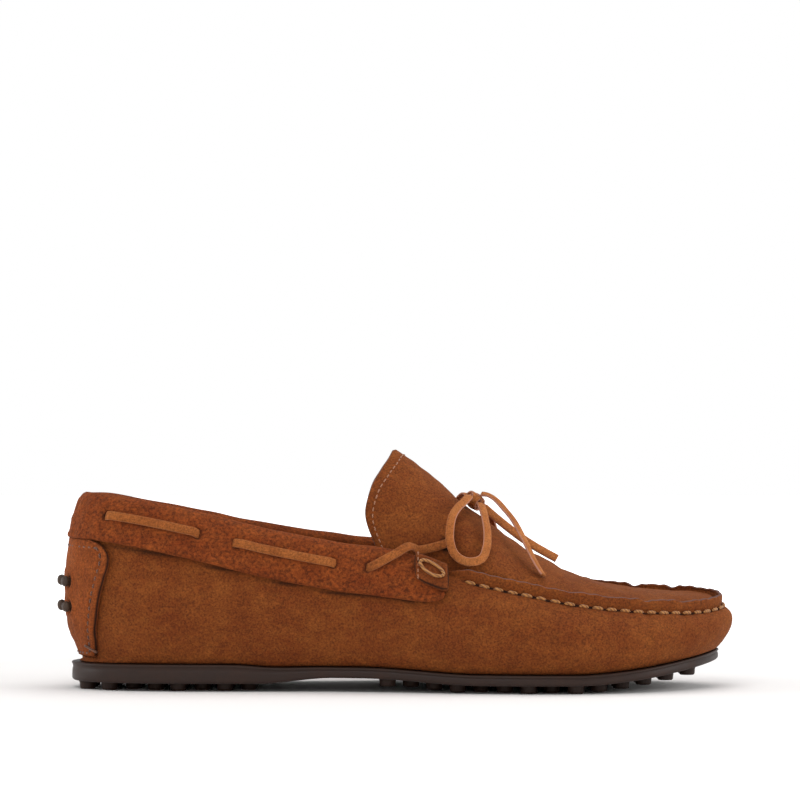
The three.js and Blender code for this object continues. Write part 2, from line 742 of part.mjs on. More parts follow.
// The free edge of the tongue: [share of the way from ridge to side, % of the shoe length].
const TONGUE_EDGE = new THREE.CatmullRomCurve3(
  [[0, 49.6], [0.24, 48.8], [0.43, 47.4], [0.6, 45.7], [0.72, 45], [0.85, 46.3], [1, 49]]
    .map(([share, x]) => new THREE.Vector3(share, along(x), 0)), false, 'centripetal');

/** The distance along of the tongue's free edge at an angle. */
function tongueEdge(angle) {
  const share = Math.abs(angle) / 90;
  return TONGUE_EDGE.getPoint(solve((place) => TONGUE_EDGE.getPoint(place).x, share, 0, 1)).y;
}

const APRON_ROWS = 9;

/** The apron's grid off its outer face, from the fold of the tongue to the toe. */
function apronGrid(offset) {
  return FLAP_ANGLES.map((angle) => Array.from({ length: APRON_ROWS + 1 }, (_, row) => {
    const share = Math.sin((row * Math.PI) / (2 * APRON_ROWS));
    return instepOff(lerp(splitLine(angle, false), FLAP_TIP, share), angle, offset);
  }));
}

/** The tongue's grid off its outer face, from its fold to its free edge less an inset. */
function tongueGrid(offset, inset, rows) {
  return FLAP_ANGLES.map((angle) => Array.from({ length: rows + 1 }, (_, row) => {
    const x = lerp(splitLine(angle, true) - inset, tongueEdge(angle) + inset, row / rows);
    return instepOff(x, angle, offset);
  }));
}

const LACE_HOLE = { x: 162.2, angle: 62, diameter: LACE_HOLE_DIAMETER };
const LACE_EYELET = { x: KNOT_X - 2.5, angle: 14, diameter: EYELET_DIAMETER };

/** A hole through the apron for the lace, on one side. */
function lacePunch({ x, angle, diameter }, side) {
  const middle = instepOff(x, side * angle, -APRON / 2);
  const out = instepOff(x, side * angle, 1).sub(middle).normalize();
  return pegAt(middle, out, diameter, APRON * 5);
}

/** The apron over the forefoot, sewn to the shell all round. */
function makeApron() {
  const blank = skin(apronGrid(0), apronGrid(-APRON));
  const punches = [-1, 1].flatMap((side) =>
    [lacePunch(LACE_HOLE, side), lacePunch(LACE_EYELET, side)]);
  return cutAway(blank, punches);
}

/** The thin lining under the apron, in front of the lace. */
function makeApronLining() {
  const top = -(APRON + 2 * PART_GAP);
  const pick = (grid) => grid.slice(2, -2).map((column) => column.slice(2, -2));
  return skin(pick(apronGrid(top)), pick(apronGrid(top - FLAP_LINING)));
}

/** The tongue flap, which lifts about the fold across the instep. */
const makeTongue = () => skin(tongueGrid(0, 0, 4), tongueGrid(-APRON, 0, 4));

/** The lining under the tongue flap. */
function makeTongueLining() {
  const top = -(APRON + PART_GAP);
  const pick = (grid) => grid.slice(1, -1);
  return skin(pick(tongueGrid(top, 2, 4)), pick(tongueGrid(top - FLAP_LINING, 2, 4)));
}

// ---- Threads ----------------------------------------------------------------------------------

/** The thick hand-sewing thread along the apron seam, under the lip. */
function makeSeamThread() {
  const stations = stationsBetween(stationAt(LIP_FULL - 4, -1), stationAt(LIP_FULL - 4, 1));
  const offset = PART_GAP + SEAM_THREAD / 2 + 0.25;
  const points = stations.map((station) => dropPoint(station, 0.8, offset));
  return roundCord(points, SEAM_THREAD, 54, 5);
}

/** The stitches round the free edge of the tongue. */
function makeHemThread() {
  const angles = Array.from({ length: 25 }, (_, i) => -78 + i * 6.5);
  const lift = HEM_THREAD / 2 + 0.45;
  const points = angles.map((angle) => {
    const inset = HEM_INSET * lerp(1.5, 1, Math.abs(angle) / 78);
    return instepOff(tongueEdge(angle) + inset, angle, lift);
  });
  return roundCord(points, HEM_THREAD, 36, 4);
}

// ---- Heel patch and pebbles -------------------------------------------------------------------

/** The station a measured distance round from the middle of the heel. */
function stationAtArc(distance) {
  const reach = 0.3;
  const steps = 300;
  let travelled = 0;
  let before = widest.getPoint(0);
  for (let step = 1; step <= steps; step += 1) {
    const station = (reach * step) / steps;
    const here = widest.getPoint(station);
    const length = here.distanceTo(before);
    const over = travelled + length - distance;
    if (over >= 0) return station - ((reach / steps) * over) / length;
    travelled += length;
    before = here;
  }
  return reach;
}

/** The level of the heel wall at a height above the ground. */
const heelLevel = (height) => solve((level) => trueWall(0, level).z, height, 0, 1);

const PATCH_BOTTOM = 0.05;
// Half the patch's width round the heel, in millimetres, from its bottom edge to the collar.
const PATCH_HALF_WIDTHS = [24.5, 28.5, 30, 31, 32.5, 32.5, 29.5];
const PATCH_OFFSET = PART_GAP + PEBBLE_PLATE + PART_GAP;

/** The heel patch's grid at a distance off the wall. */
function patchGrid(offset) {
  const rows = PATCH_HALF_WIDTHS.map((half, row) => {
    const edge = stationAtArc(half);
    const columns = [-edge, -3 / COLUMNS, -2 / COLUMNS, -1 / COLUMNS, 0];
    const stations = [...columns, ...columns.slice(0, -1).reverse().map((station) => -station)];
    return stations.map((station) => {
      const top = 1 - (COLLAR_DROP + 0.6) / wallLength(station);
      const level = lerp(PATCH_BOTTOM, top, row / (PATCH_HALF_WIDTHS.length - 1));
      return wallPoint(station, level, offset);
    });
  });
  return rows[0].map((_, column) => rows.map((row) => row[column]));
}

/** The places of the rubber pebbles, in rows across the back of the heel. */
function pebblePlaces() {
  const step = stationAtArc(PEBBLE_SPACING);
  return PEBBLE_HEIGHTS.flatMap((height) =>
    [-step, 0, step].map((station) => ({ station, level: heelLevel(height) })));
}

/** A peg along the wall's normal between two distances off the wall. */
function wallPeg({ station, level }, diameter, from, to, sides) {
  const start = wallPoint(station, level, from);
  const end = wallPoint(station, level, to);
  const middle = start.clone().add(end).multiplyScalar(0.5);
  const direction = end.clone().sub(start).normalize();
  return pegAt(middle, direction, diameter, start.distanceTo(end), sides);
}

/** The suede patch up the back of the heel, with a hole for each pebble. */
function makeHeelPatch() {
  const blank = skin(patchGrid(PATCH_OFFSET + PATCH_LEATHER), patchGrid(PATCH_OFFSET));
  const holes = pebblePlaces().map((place) =>
    wallPeg(place, PEBBLE_DIAMETER + 2 * PART_GAP + 0.3, PATCH_OFFSET - 1, PATCH_OFFSET + 4, 8));
  return cutAway(blank, holes);
}

/** The rubber insert behind the patch, whose pebbles stand out through it. */
function makePebbleInsert() {
  const half = stationAtArc(PEBBLE_SPACING + 6);
  const stations = stationsBetween(-half, half);
  const levels = [PEBBLE_HEIGHTS[1] - 6, PEBBLE_HEIGHTS[1], PEBBLE_HEIGHTS[0], PEBBLE_HEIGHTS[0] + 6];
  const grid = (offset) => stations.map((station) =>
    levels.map((height) => wallPoint(station, heelLevel(height), offset)));
  const backing = skin(grid(PART_GAP + PEBBLE_PLATE), grid(PART_GAP));
  const shoulder = PATCH_OFFSET + PATCH_LEATHER + PEBBLE_PROUD - PEBBLE_DIAMETER * 0.36;
  const pebbles = pebblePlaces().flatMap((place) => {
    const foot = wallPeg(place, PEBBLE_DIAMETER, PART_GAP + 0.2, shoulder, 8);
    const dome = new THREE.SphereGeometry(PEBBLE_DIAMETER / 2, 8, 5);
    const turn = new THREE.Quaternion().setFromUnitVectors(
      new THREE.Vector3(0, 1, 0), trueNormal(place.station, place.level));
    const seat = wallPoint(place.station, place.level, shoulder);
    dome.scale(1, 0.72, 1).applyQuaternion(turn).translate(seat.x, seat.y, seat.z);
    return [foot, dome];
  });
  return joined(backing, pebbles);
}

/** The running stitch round the edge of the heel patch. */
function makePatchThread() {
  const offset = PATCH_OFFSET + PATCH_LEATHER + PART_GAP + PATCH_THREAD / 2 + 0.2;
  const last = PATCH_HALF_WIDTHS.length - 1;
  const side = (sign) => PATCH_HALF_WIDTHS.map((half, row) => {
    const station = stationAtArc(half - PATCH_STITCH_INSET);
    const top = 1 - (COLLAR_DROP + 3) / wallLength(station);
    return wallPoint(sign * station, lerp(PATCH_BOTTOM + 0.05, top, row / last), offset);
  });
  const bottomRow = [-0.5, 0, 0.5].map((share) =>
    wallPoint(share * stationAtArc(PATCH_HALF_WIDTHS[0] - PATCH_STITCH_INSET), PATCH_BOTTOM + 0.05, offset));
  const points = [...side(-1).reverse(), ...bottomRow, ...side(1)];
  return roundCord(points, PATCH_THREAD, 48, 4);
}

// ---- Tabs, lace and bow -----------------------------------------------------------------------

const TAB_OFFSET = CHANNEL + COLLAR_SKIN + PART_GAP + 0.1;

/** A folded tab over the end of the collar, on one side. */
function makeTab(side) {
  const ends = [stationAt(TAB_START, side), stationAt(TAB_END, side)].sort((a, b) => a - b);
  const stations = stationsBetween(...ends);
  const drops = [0, 0.33, 0.67, 1].map((share) => lerp(TAB_DROP, TAB_TOP, share));
  const grid = (extra) => stations.map((station) =>
    drops.map((drop) => dropPoint(station, drop, TAB_OFFSET + extra)));
  return skin(grid(TAB_THICKNESS), grid(0));
}

/** The loop of thick thread sewn on a tab. */
function makeTabThread(side) {
  const offset = TAB_OFFSET + TAB_THICKNESS + PART_GAP + TAB_THREAD / 2 + 0.2;
  const middleX = (TAB_START + TAB_END) / 2;
  const middleDrop = (TAB_TOP + TAB_DROP) / 2;
  const [long, tall] = TAB_LOOP;
  const points = Array.from({ length: 10 }, (_, i) => {
    const angle = (i * 2 * Math.PI) / 10;
    const x = middleX + (long / 2) * Math.cos(angle);
    return dropPoint(stationAt(x, side), middleDrop + (tall / 2) * Math.sin(angle), offset);
  });
  return threadRing(points, TAB_THREAD, 20, 5);
}

/** A flat lace section about a point, from its run and the direction that it faces. */
function laceSection(point, run, facing) {
  const sideways = new THREE.Vector3().crossVectors(run, facing).normalize();
  const out = new THREE.Vector3().crossVectors(sideways, run).normalize();
  const [half, thin] = [LACE_WIDTH / 2, LACE_THICKNESS / 2];
  const corner = (a, b) => point.clone().addScaledVector(sideways, a).addScaledVector(out, b);
  return [corner(-half, -thin), corner(half, -thin), corner(half, thin), corner(-half, thin)];
}

/** The lace's way round the collar channel: stops with a point and the direction it faces. */
function channelStops() {
  const stops = [];
  const add = (station) => {
    const x = topEdge.getPoint(wrapStation(station)).x;
    const offset = laceOffset(x);
    const point = dropPoint(station, LACE_DROP, offset);
    const facing = dropPoint(station, LACE_DROP, offset + 1).sub(point).normalize();
    stops.push({ point, facing });
  };
  const start = stationAt(LACE_LEAVES + LACE_RAMP / 2, 1) - 1;
  const end = stationAt(LACE_LEAVES + LACE_RAMP / 2, -1);
  const steps = 88;
  for (let step = 0; step <= steps; step += 1) add(lerp(start, end, step / steps));
  return stops;
}

/** The lace from the collar over the topline, into its hole and up to the eyelet by the knot. */
function instepStops(side) {
  const over = OUTSIDE_COLLAR;
  const stationA = stationAt(141, side);
  const stationB = stationAt(147, side);
  const beneath = -(APRON + LAYER_GAP + LACE_THICKNESS / 2 + 0.5);
  const places = [
    [dropPoint(stationA, 3.5, over), dropPoint(stationA, 3.5, over + 1)],
    [dropPoint(stationB, -2.6, over - 1), dropPoint(stationB, -3.2, over)],
    [instepOff(154, side * 68, 3.2), instepOff(154, side * 68, 4.2)],
    [instepOff(159.5, side * 63, 1.6), instepOff(159.5, side * 63, 2.6)],
    [instepOff(163.5, side * 60, beneath + 0.3), instepOff(163.5, side * 60, beneath + 1.3)],
    [instepOff(167, side * 46, beneath - 0.6), instepOff(167, side * 46, beneath + 0.4)],
    [instepOff(170, side * 30, beneath), instepOff(170, side * 30, beneath + 1)],
    [instepOff(LACE_EYELET.x, side * 19, beneath), instepOff(LACE_EYELET.x, side * 19, beneath + 1)],
  ];
  return places.map(([point, tip]) => ({ point, facing: tip.sub(point).normalize() }));
}

/** The flat suede lace, whole, from one eyelet round the heel to the other. */
function makeLace() {
  const stops = [...instepStops(1).reverse(), ...channelStops(), ...instepStops(-1)];
  const last = stops.length - 1;
  const sections = stops.map(({ point, facing }, i) => {
    const run = stops[Math.min(i + 1, last)].point.clone().sub(stops[Math.max(i - 1, 0)].point);
    return laceSection(point, run.normalize(), facing);
  });
  return bar(sections);
}

/** The middle of the knot, which sits on the ridge over the eyelets. */
const knotMiddle = () => instepOff(KNOT_X, 0, KNOT_SIZE[2] / 2 + PART_GAP + 0.6);

/** The knot of the bow. */
function makeKnot() {
  const knot = new THREE.SphereGeometry(0.5, 12, 8);
  const middle = knotMiddle();
  const slope = instepPoint(KNOT_X + 2, 0).sub(instepPoint(KNOT_X - 2, 0));
  knot.scale(...KNOT_SIZE).rotateY(-Math.atan2(slope.z, slope.x));
  return closedFrom(knot.translate(middle.x, middle.y, middle.z));
}

// The bow's free loops and tails, from the knot outwards: [mm along the shoe, degrees round the
// instep from its ridge on the piece's own side, mm off the instep].
const BOW_ROUTES = {
  lace_loop_lateral: [
    [170, 8.6, 4], [169.6, 18, 5], [168.5, 29, 5.4], [166.8, 38.3, 5.2], [165.8, 44.4, 4.8],
    [165.5, 52.3, 4.2], [165.8, 60.4, 3.6], [167.7, 68.9, 3.1], [170.9, 75, 2.8],
    [173.8, 76, 2.8], [177.1, 70.3, 2.9], [178.6, 59.7, 3.2], [178.5, 46.3, 3.8],
    [177, 33.6, 4.6], [175.6, 20.4, 4.8], [175.2, 9.4, 4.4],
  ],
  lace_loop_medial: [
    [175.2, 9.1, 4.3], [177, 18, 5.2], [180, 31, 5], [182.5, 41, 3.8], [184, 51, 3],
    [183.5, 60, 2.6], [180.5, 67, 2.5], [176.5, 70, 2.5], [172, 69, 2.6], [168.5, 62, 3],
    [166.5, 52, 3.4], [166.3, 41, 3.8], [167.2, 31, 4.4], [168.6, 18, 4.8], [170.2, 8.5, 4],
  ],
  lace_tail_lateral: [
    [173.6, 2.5, 7.8], [175.6, 3.5, 9], [178.6, 7, 9.5], [182.4, 13.5, 9], [186.7, 20.9, 8.4],
    [190.8, 28.5, 7], [194.5, 37.1, 5.6], [198.1, 46.7, 4.2], [201, 54, 3], [202.6, 58.5, 2.5],
  ],
  lace_tail_medial: [
    [177.5, 4.4, 3.7], [182, 6, 3.2], [188, 7, 3], [194, 7.5, 2.9], [200, 8, 2.8],
    [205.5, 8, 2.7], [209.8, 8, 2.6],
  ],
};
const BOW_CORD = 2.4;

/** One free loop or tail of the bow. */
function makeBowPiece(name) {
  const side = name.endsWith('_lateral') ? -1 : 1;
  const points = BOW_ROUTES[name].map(([x, angle, offset]) => instepOff(x, side * angle, offset));
  return roundCord(points, BOW_CORD, 18, 8);
}

// ---- The whole shoe ---------------------------------------------------------------------------

const FINISHES = {
  suede: { color: 0x7a3e1f, roughness: 0.95, metalness: 0 },
  darkSuede: { color: 0x6e3414, roughness: 0.97, metalness: 0 },
  laceSuede: { color: 0x9d6134, roughness: 0.9, metalness: 0 },
  thread: { color: 0xa9662c, roughness: 0.8, metalness: 0 },
  rubber: { color: 0x342720, roughness: 0.55, metalness: 0 },
  lining: { color: 0x6f3c1c, roughness: 0.6, metalness: 0 },
  board: { color: 0x9c8f7a, roughness: 0.9, metalness: 0 },
  foam: { color: 0xd8cfb8, roughness: 0.95, metalness: 0 },
};

const PIECES = [
  ['outsole', 'rubber', makeOutsole()],
  ['side_wall', 'suede', makeSideWall()],
  ['lining', 'lining', makeLining()],
  ['heel_counter', 'board', makeHeelCounter()],
  ['insole_board', 'board', makeFootbedLayer(BOARD_BOTTOM, INSOLE_BOARD)],
  ['footbed_foam', 'foam', makeFootbedLayer(FOAM_BOTTOM, FOOTBED_FOAM)],
  ['sock_liner', 'lining', makeFootbedLayer(SOCK_BOTTOM, SOCK_LINER)],
  ['collar', 'darkSuede', makeCollar()],
  ['heel_patch', 'suede', makeHeelPatch()],
  ['heel_pebble_insert', 'rubber', makePebbleInsert()],
  ['heel_patch_thread', 'thread', makePatchThread()],
  ['apron', 'suede', makeApron()],
  ['apron_lining', 'lining', makeApronLining()],
  ['apron_seam_thread', 'thread', makeSeamThread()],
  ['tongue', 'suede', makeTongue()],
  ['tongue_lining', 'lining', makeTongueLining()],
  ['tongue_hem_thread', 'thread', makeHemThread()],
  ['tab_lateral', 'darkSuede', makeTab(-1)],
  ['tab_medial', 'darkSuede', makeTab(1)],
  ['tab_thread_lateral', 'thread', makeTabThread(-1)],
  ['tab_thread_medial', 'thread', makeTabThread(1)],
  ['lace', 'laceSuede', makeLace()],
  ['lace_knot', 'laceSuede', makeKnot()],
  ...Object.keys(BOW_ROUTES).map((name) => [name, 'laceSuede', makeBowPiece(name)]),
];

const BOW_NAMES = new Set(Object.keys(BOW_ROUTES));

/** The box of the shoe without its free lace ends. */
function shoeBox(meshes) {
  const box = new THREE.Box3();
  for (const mesh of meshes) {
    if (!BOW_NAMES.has(mesh.name)) box.union(new THREE.Box3().setFromObject(mesh));
  }
  return box;
}

const shoe = new THREE.Group();
for (const [name, finish, geometry] of PIECES) {
  const mesh = new THREE.Mesh(geometry, new THREE.MeshStandardMaterial(FINISHES[finish]));
  mesh.name = name;
  shoe.add(mesh);
}

// The origin is the middle of the shoe's footprint, on the ground under the studs.
const middle = shoeBox(shoe.children).getCenter(new THREE.Vector3());
shoe.position.set(-middle.x, -middle.y, 0);

const moccasin = new THREE.Group();
moccasin.add(shoe);
export default moccasin;
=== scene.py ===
"""A brown suede driving moccasin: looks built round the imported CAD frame.

The last (the shoe's inner form) is described once, in millimetres, and every leather piece, thread
and lace is laid on it at a station round the shoe and a height up its wall.
"""

import logging
import math
from dataclasses import dataclass, field
from enum import Enum
from typing import Callable, Sequence

import bpy
import numpy as np
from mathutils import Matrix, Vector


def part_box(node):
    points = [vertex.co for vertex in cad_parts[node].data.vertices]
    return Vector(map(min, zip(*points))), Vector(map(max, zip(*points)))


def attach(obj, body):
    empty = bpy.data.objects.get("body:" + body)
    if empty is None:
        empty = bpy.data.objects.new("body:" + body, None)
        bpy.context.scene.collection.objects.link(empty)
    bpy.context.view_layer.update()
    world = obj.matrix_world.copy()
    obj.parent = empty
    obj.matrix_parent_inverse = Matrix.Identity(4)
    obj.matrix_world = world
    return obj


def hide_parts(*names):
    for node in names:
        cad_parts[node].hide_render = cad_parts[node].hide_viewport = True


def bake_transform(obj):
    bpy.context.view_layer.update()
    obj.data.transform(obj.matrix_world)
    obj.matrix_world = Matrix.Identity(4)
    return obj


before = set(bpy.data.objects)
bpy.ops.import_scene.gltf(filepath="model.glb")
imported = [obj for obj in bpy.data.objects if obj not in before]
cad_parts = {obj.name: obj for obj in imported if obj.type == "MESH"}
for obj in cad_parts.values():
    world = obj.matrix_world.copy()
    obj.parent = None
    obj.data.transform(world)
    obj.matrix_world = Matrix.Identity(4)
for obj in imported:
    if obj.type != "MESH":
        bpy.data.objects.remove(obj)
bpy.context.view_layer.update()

LOG = logging.getLogger("moccasin")
Array = np.ndarray

SHOE_LENGTH = 286.0
BALL_WIDTH = 100.0
BACK_HEIGHT = 84.0
INSTEP_HEIGHT = 84.0
OUTER, INNER = -1, 1
SHOE, FLAP = "shoe", "tongue_flap"
COLLAR_FRONT = 160.5
LINING_SKIN = 1.0
LAYING_SEED = 7


# ---- Lines and levels --------------------------------------------------------------------------


def smooth(value: Array | float, low: float, high: float) -> Array:
    """An S-shaped step from 0 at low to 1 at high."""
    share = np.clip((np.asarray(value, float) - low) / (high - low), 0.0, 1.0)
    return share * share * (3.0 - 2.0 * share)


def mix(start: Array | float, end: Array | float, share: Array | float) -> Array:
    """The value a share of the way from start to end."""
    return np.asarray(start) + (np.asarray(end) - np.asarray(start)) * share


def unit(vectors: Array) -> Array:
    """The same directions with a length of one."""
    return vectors / np.maximum(np.linalg.norm(vectors, axis=-1, keepdims=True), 1e-9)


def bump(value: Array | float, centre: float, width: float, power: int = 2) -> Array:
    """A soft hill, 1 at its centre and falling away over its width; a higher power makes it steeper."""
    return np.exp(-np.abs((value - centre) / width) ** power)


def along(percent: float) -> float:
    """Millimetres along the shoe for a percentage of its length."""
    return percent * SHOE_LENGTH / 100.0


class Spline:
    """A centripetal Catmull-Rom line through points, open or closed."""

    def __init__(self, points: Sequence[Sequence[float]] | Array, closed: bool = False) -> None:
        """Keep the points.

        Args:
            points: The points that the line passes through.
            closed: Whether the line returns to its first point.
        """
        self.points = np.asarray(points, float)
        self.closed = closed

    def at(self, share: Array | float) -> Array:
        """Points on the line.

        Args:
            share: Parameters from 0 to 1.

        Returns:
            One point for each parameter.
        """
        share = np.asarray(share, float)
        count = len(self.points)
        place = share * count if self.closed else np.clip(share, 0, 1) * (count - 1)
        start = np.floor(place).astype(int)
        if not self.closed:
            start = np.clip(start, 0, count - 2)
        weight = (place - start)[..., None]
        if self.closed:
            corner = [self.points[(start + step) % count] for step in (-1, 0, 1, 2)]
        else:
            ends = np.vstack([2 * self.points[0] - self.points[1], self.points,
                              2 * self.points[-1] - self.points[-2]])
            corner = [ends[start + step] for step in (0, 1, 2, 3)]
        spans = [np.sqrt(np.linalg.norm(b - a, axis=-1, keepdims=True)) for a, b in zip(corner, corner[1:])]
        spans = [np.maximum(span, 1e-6) for span in spans]
        a, b, c, d = corner
        first = ((b - a) / spans[0] - (c - a) / (spans[0] + spans[1]) + (c - b) / spans[1]) * spans[1]
        second = ((c - b) / spans[1] - (d - b) / (spans[1] + spans[2]) + (d - c) / spans[2]) * spans[1]
        square, cube = weight**2, weight**3
        return (b + first * weight + (-3 * b + 3 * c - 2 * first - second) * square
                + (2 * b - 2 * c + first + second) * cube)

    def even(self, count: int) -> Array:
        """Points evenly spaced along the line's length."""
        fine = self.at(np.linspace(0, 1, 1200))
        lengths = np.r_[0, np.cumsum(np.linalg.norm(np.diff(fine, axis=0), axis=1))]
        stops = np.linspace(0, lengths[-1], count, endpoint=not self.closed)
        return np.stack([np.interp(stops, lengths, fine[:, axis]) for axis in range(3)], 1)


@dataclass
class Last:
    """The form that the shoe is made on: its outline, top edge, sole levels and instep."""

    widest_rows: tuple = (
        (0.5, 0), (1.6, -27.5), (4.6, -49.5), (10, -63.5), (19, -69.5), (29, -70.5), (40, -73.5),
        (50, -83), (60, -94.5), (69, -101), (77, -99), (85, -86.5), (91.5, -66), (96.6, -41.5),
        (99.5, -13), (100.4, 13), (99.3, 38.5), (95.9, 61.5), (90, 79), (82.5, 92), (74, 99),
        (66, 99), (58, 92.5), (49, 82), (39, 73), (28, 69.5), (18, 67.5), (9.5, 61), (4.4, 47.5),
        (1.6, 26.5))
    top_rows: tuple = (
        (2.7, 0, 98), (3.3, -21, 98), (5.9, -38, 97.4), (11.5, -48.5, 94.4), (20.5, -54, 88),
        (30.5, -58, 79.9), (41, -63, 73.2), (50, -69.5, 68.8), (58.7, -77, 57.5),
        (68.5, -85, 49.9), (77, -83, 44.4), (84.8, -71, 41.5), (91, -53, 40.2), (95.3, -33, 40.1),
        (98, -11, 41.6), (98.5, 11, 42.6), (97.7, 32, 43.8), (94.5, 50, 44.6), (89, 65, 45),
        (82, 77, 47.3), (74, 84, 51.4), (66, 84.5, 55.8), (57.5, 77, 62), (49.5, 68.5, 71),
        (41, 62.5, 75.2), (30.5, 58, 80.6), (20.5, 53.5, 87.4), (11.5, 48, 93.4), (5.9, 37, 96.8),
        (3.3, 20, 97.8))
    ridge_rows: tuple = (
        (44.8, 135), (50.3, 120), (55.2, 107.5), (59.1, 95.5), (63.3, 85.2), (68.5, 72.1),
        (73.6, 62.4), (76.3, 58), (79.9, 54.2), (83.6, 51.4), (87.2, 49.3), (91.6, 47.5),
        (95.1, 46.6), (99, 45.2))
    tongue_rows: tuple = ((0, 49.6), (0.24, 48.8), (0.43, 47.4), (0.6, 45.7), (0.72, 45),
                          (0.85, 46.3), (1, 49))
    stud_height: float = 3.4
    arch_rise: float = 2.6
    toe_spring: float = 8.5
    heel_sole: float = 8.0
    fore_sole: float = 4.5
    rim_inset: float = 2.4
    heel_rim_inset: float = 0.2
    toe_overhang: float = 4.0
    feather: float = 3.0
    toe_feather: float = 0.6
    part_gap: float = 0.3
    lip_height: float = 4.7
    lip_start: float = 158.0
    lip_full: float = 174.0
    wall: float = 1.8
    tongue_inset: float = 8.7
    tongue_depth: float = 9.0
    shift: Array = field(default_factory=lambda: np.zeros(3))

    def __post_init__(self) -> None:
        """Make the splines, tabulate the instep's edges and find the frame's shift."""
        half = BALL_WIDTH / 200.0
        self.widest = Spline([(along(x), y * half, 0) for x, y in self.widest_rows], True)
        self.top = Spline([(along(x), y * half, z * BACK_HEIGHT / 100) for x, y, z in self.top_rows], True)
        self.stations = np.linspace(0, 1, 4001)
        self.top_points = self.top.at(self.stations)
        ridge = Spline([(along(x), 0, z * INSTEP_HEIGHT / 100) for x, z in self.ridge_rows])
        self.ridge_points = ridge.at(np.linspace(0, 1, 800))
        tongue = Spline([(share, along(x), 0) for share, x in self.tongue_rows])
        self.tongue_points = tongue.at(np.linspace(0, 1, 400))
        edge = self.flap_edge(self.stations)
        split = len(self.stations) // 2
        self.edge_outer, self.edge_inner = edge[400:split], edge[split:-400][::-1]
        self.flap_tip = min(edge[split - 80, 0], edge[split + 80, 0]) - 0.4
        rim = self.rim(np.arange(60) / 60)
        box = np.array(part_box("outsole")) * 1000
        across = box[:, 1].mean() - (rim[:, 1].min() + rim[:, 1].max()) / 2
        self.shift = np.array([box[0][0] - rim[:, 0].min(), across, 0])

    def place(self, points: Array) -> Array:
        """Metres in the frame for millimetres on the last."""
        return (np.asarray(points) + self.shift) / 1000.0

    def out(self, station: Array) -> Array:
        """The level outward direction of the widest outline."""
        run = self.widest.at(station + 5e-4) - self.widest.at(station - 5e-4)
        return unit(np.stack([run[..., 1], -run[..., 0], np.zeros(run.shape[:-1])], -1))

    def sole_bottom(self, x: Array) -> Array:
        """The height of the underside of the sole plate."""
        arch = smooth(x, along(29), along(40)) * (1 - smooth(x, along(44), along(62)))
        spring = np.clip((x - along(76)) / along(22), 0, 1) ** 1.6
        return self.stud_height + self.arch_rise * arch + self.toe_spring * spring

    def sole_top(self, x: Array) -> Array:
        """The height of the top of the sole plate."""
        return self.sole_bottom(x) + mix(self.heel_sole, self.fore_sole, smooth(x, along(24), along(41)))

    def rim(self, station: Array, extra: float = 0.0) -> Array:
        """The sole rim's outline, or a line a distance inside it, at height 0."""
        wide = self.widest.at(station)
        x = wide[..., 0]
        inset = (mix(self.heel_rim_inset, self.rim_inset, smooth(x, 0, along(8)))
                 + self.toe_overhang * smooth(x, along(86), along(99)))
        return wide - self.out(station) * (inset + extra)[..., None]

    def bottom_edge(self, station: Array) -> Array:
        """The bottom edge of the leather shell."""
        x = self.widest.at(station)[..., 0]
        edge = self.rim(station) - self.out(station) * mix(
            self.feather, self.toe_feather, smooth(x, along(88), along(98)))[..., None]
        edge[..., 2] = self.sole_top(edge[..., 0]) + self.part_gap
        return edge

    def wall_point(self, station: Array, level: Array) -> Array:
        """A point of the shell's outer wall: level 0 is its bottom edge and level 1 its top."""
        station, level = np.broadcast_arrays(np.asarray(station, float), np.asarray(level, float))
        bottom, top, wide = self.bottom_edge(station), self.top.at(station), self.widest.at(station)
        share = mix(0.53, 0.6, smooth(wide[..., 0], along(88), along(99)))
        wide = np.concatenate([wide[..., :2], mix(bottom[..., 2], top[..., 2], share)[..., None]], -1)
        control = 2 * wide - 0.5 * bottom - 0.5 * top
        level = level[..., None]
        inside = np.minimum(level, 1.0)
        point = bottom * (1 - inside) ** 2 + control * 2 * (1 - inside) * inside + top * inside**2
        return point + 2 * (top - control) * (level - inside)

    def wall_normal(self, station: Array, level: Array) -> Array:
        """The outward normal of the wall."""
        level = np.clip(level, 0.0, 0.999)
        rise = self.wall_point(station, level + 1e-3) - self.wall_point(station, level)
        run = self.wall_point(station + 1e-3, level) - self.wall_point(station - 1e-3, level)
        return unit(np.cross(run, rise))

    def off_wall(self, station: Array, level: Array, offset: Array | float) -> Array:
        """A point a distance off the wall."""
        shift = np.broadcast_to(np.asarray(offset, float)[..., None], np.shape(
            self.wall_point(station, level))[:-1] + (1,))
        return self.wall_point(station, level) + self.wall_normal(station, level) * shift

    def wall_length(self, station: Array) -> Array:
        """The straight distance from the wall's bottom edge to its top edge."""
        return np.linalg.norm(self.top.at(station) - self.bottom_edge(station), axis=-1)

    def drop(self, station: Array, drop: Array | float, offset: Array | float = 0.0) -> Array:
        """A point a distance below the top edge and a distance off the wall."""
        station = np.asarray(station, float)
        return self.off_wall(station, 1 - np.asarray(drop, float) / self.wall_length(station), offset)

    def station_at(self, x: Array | float, side: int) -> Array:
        """The station on one side where the top edge passes a distance along."""
        half = len(self.stations) // 2
        if side == OUTER:
            return np.interp(x, self.top_points[:half, 0], self.stations[:half])
        return np.interp(x, self.top_points[half:, 0][::-1], self.stations[half:][::-1])

    def lip(self, x: Array) -> Array:
        """The height of the turned-up edge above the apron stitches."""
        return self.lip_height * smooth(x, self.lip_start, self.lip_full)

    def flap_edge(self, station: Array) -> Array:
        """The line that the edges of the apron and tongue follow."""
        top = self.top.at(station)
        share = smooth(top[..., 0], self.lip_start, self.lip_full)
        edge = top - self.out(station) * mix(self.tongue_inset - 1.0, self.wall + 0.6, share)[..., None]
        edge[..., 2] += mix(-self.tongue_depth, self.lip_height * 0.5, share)
        return edge

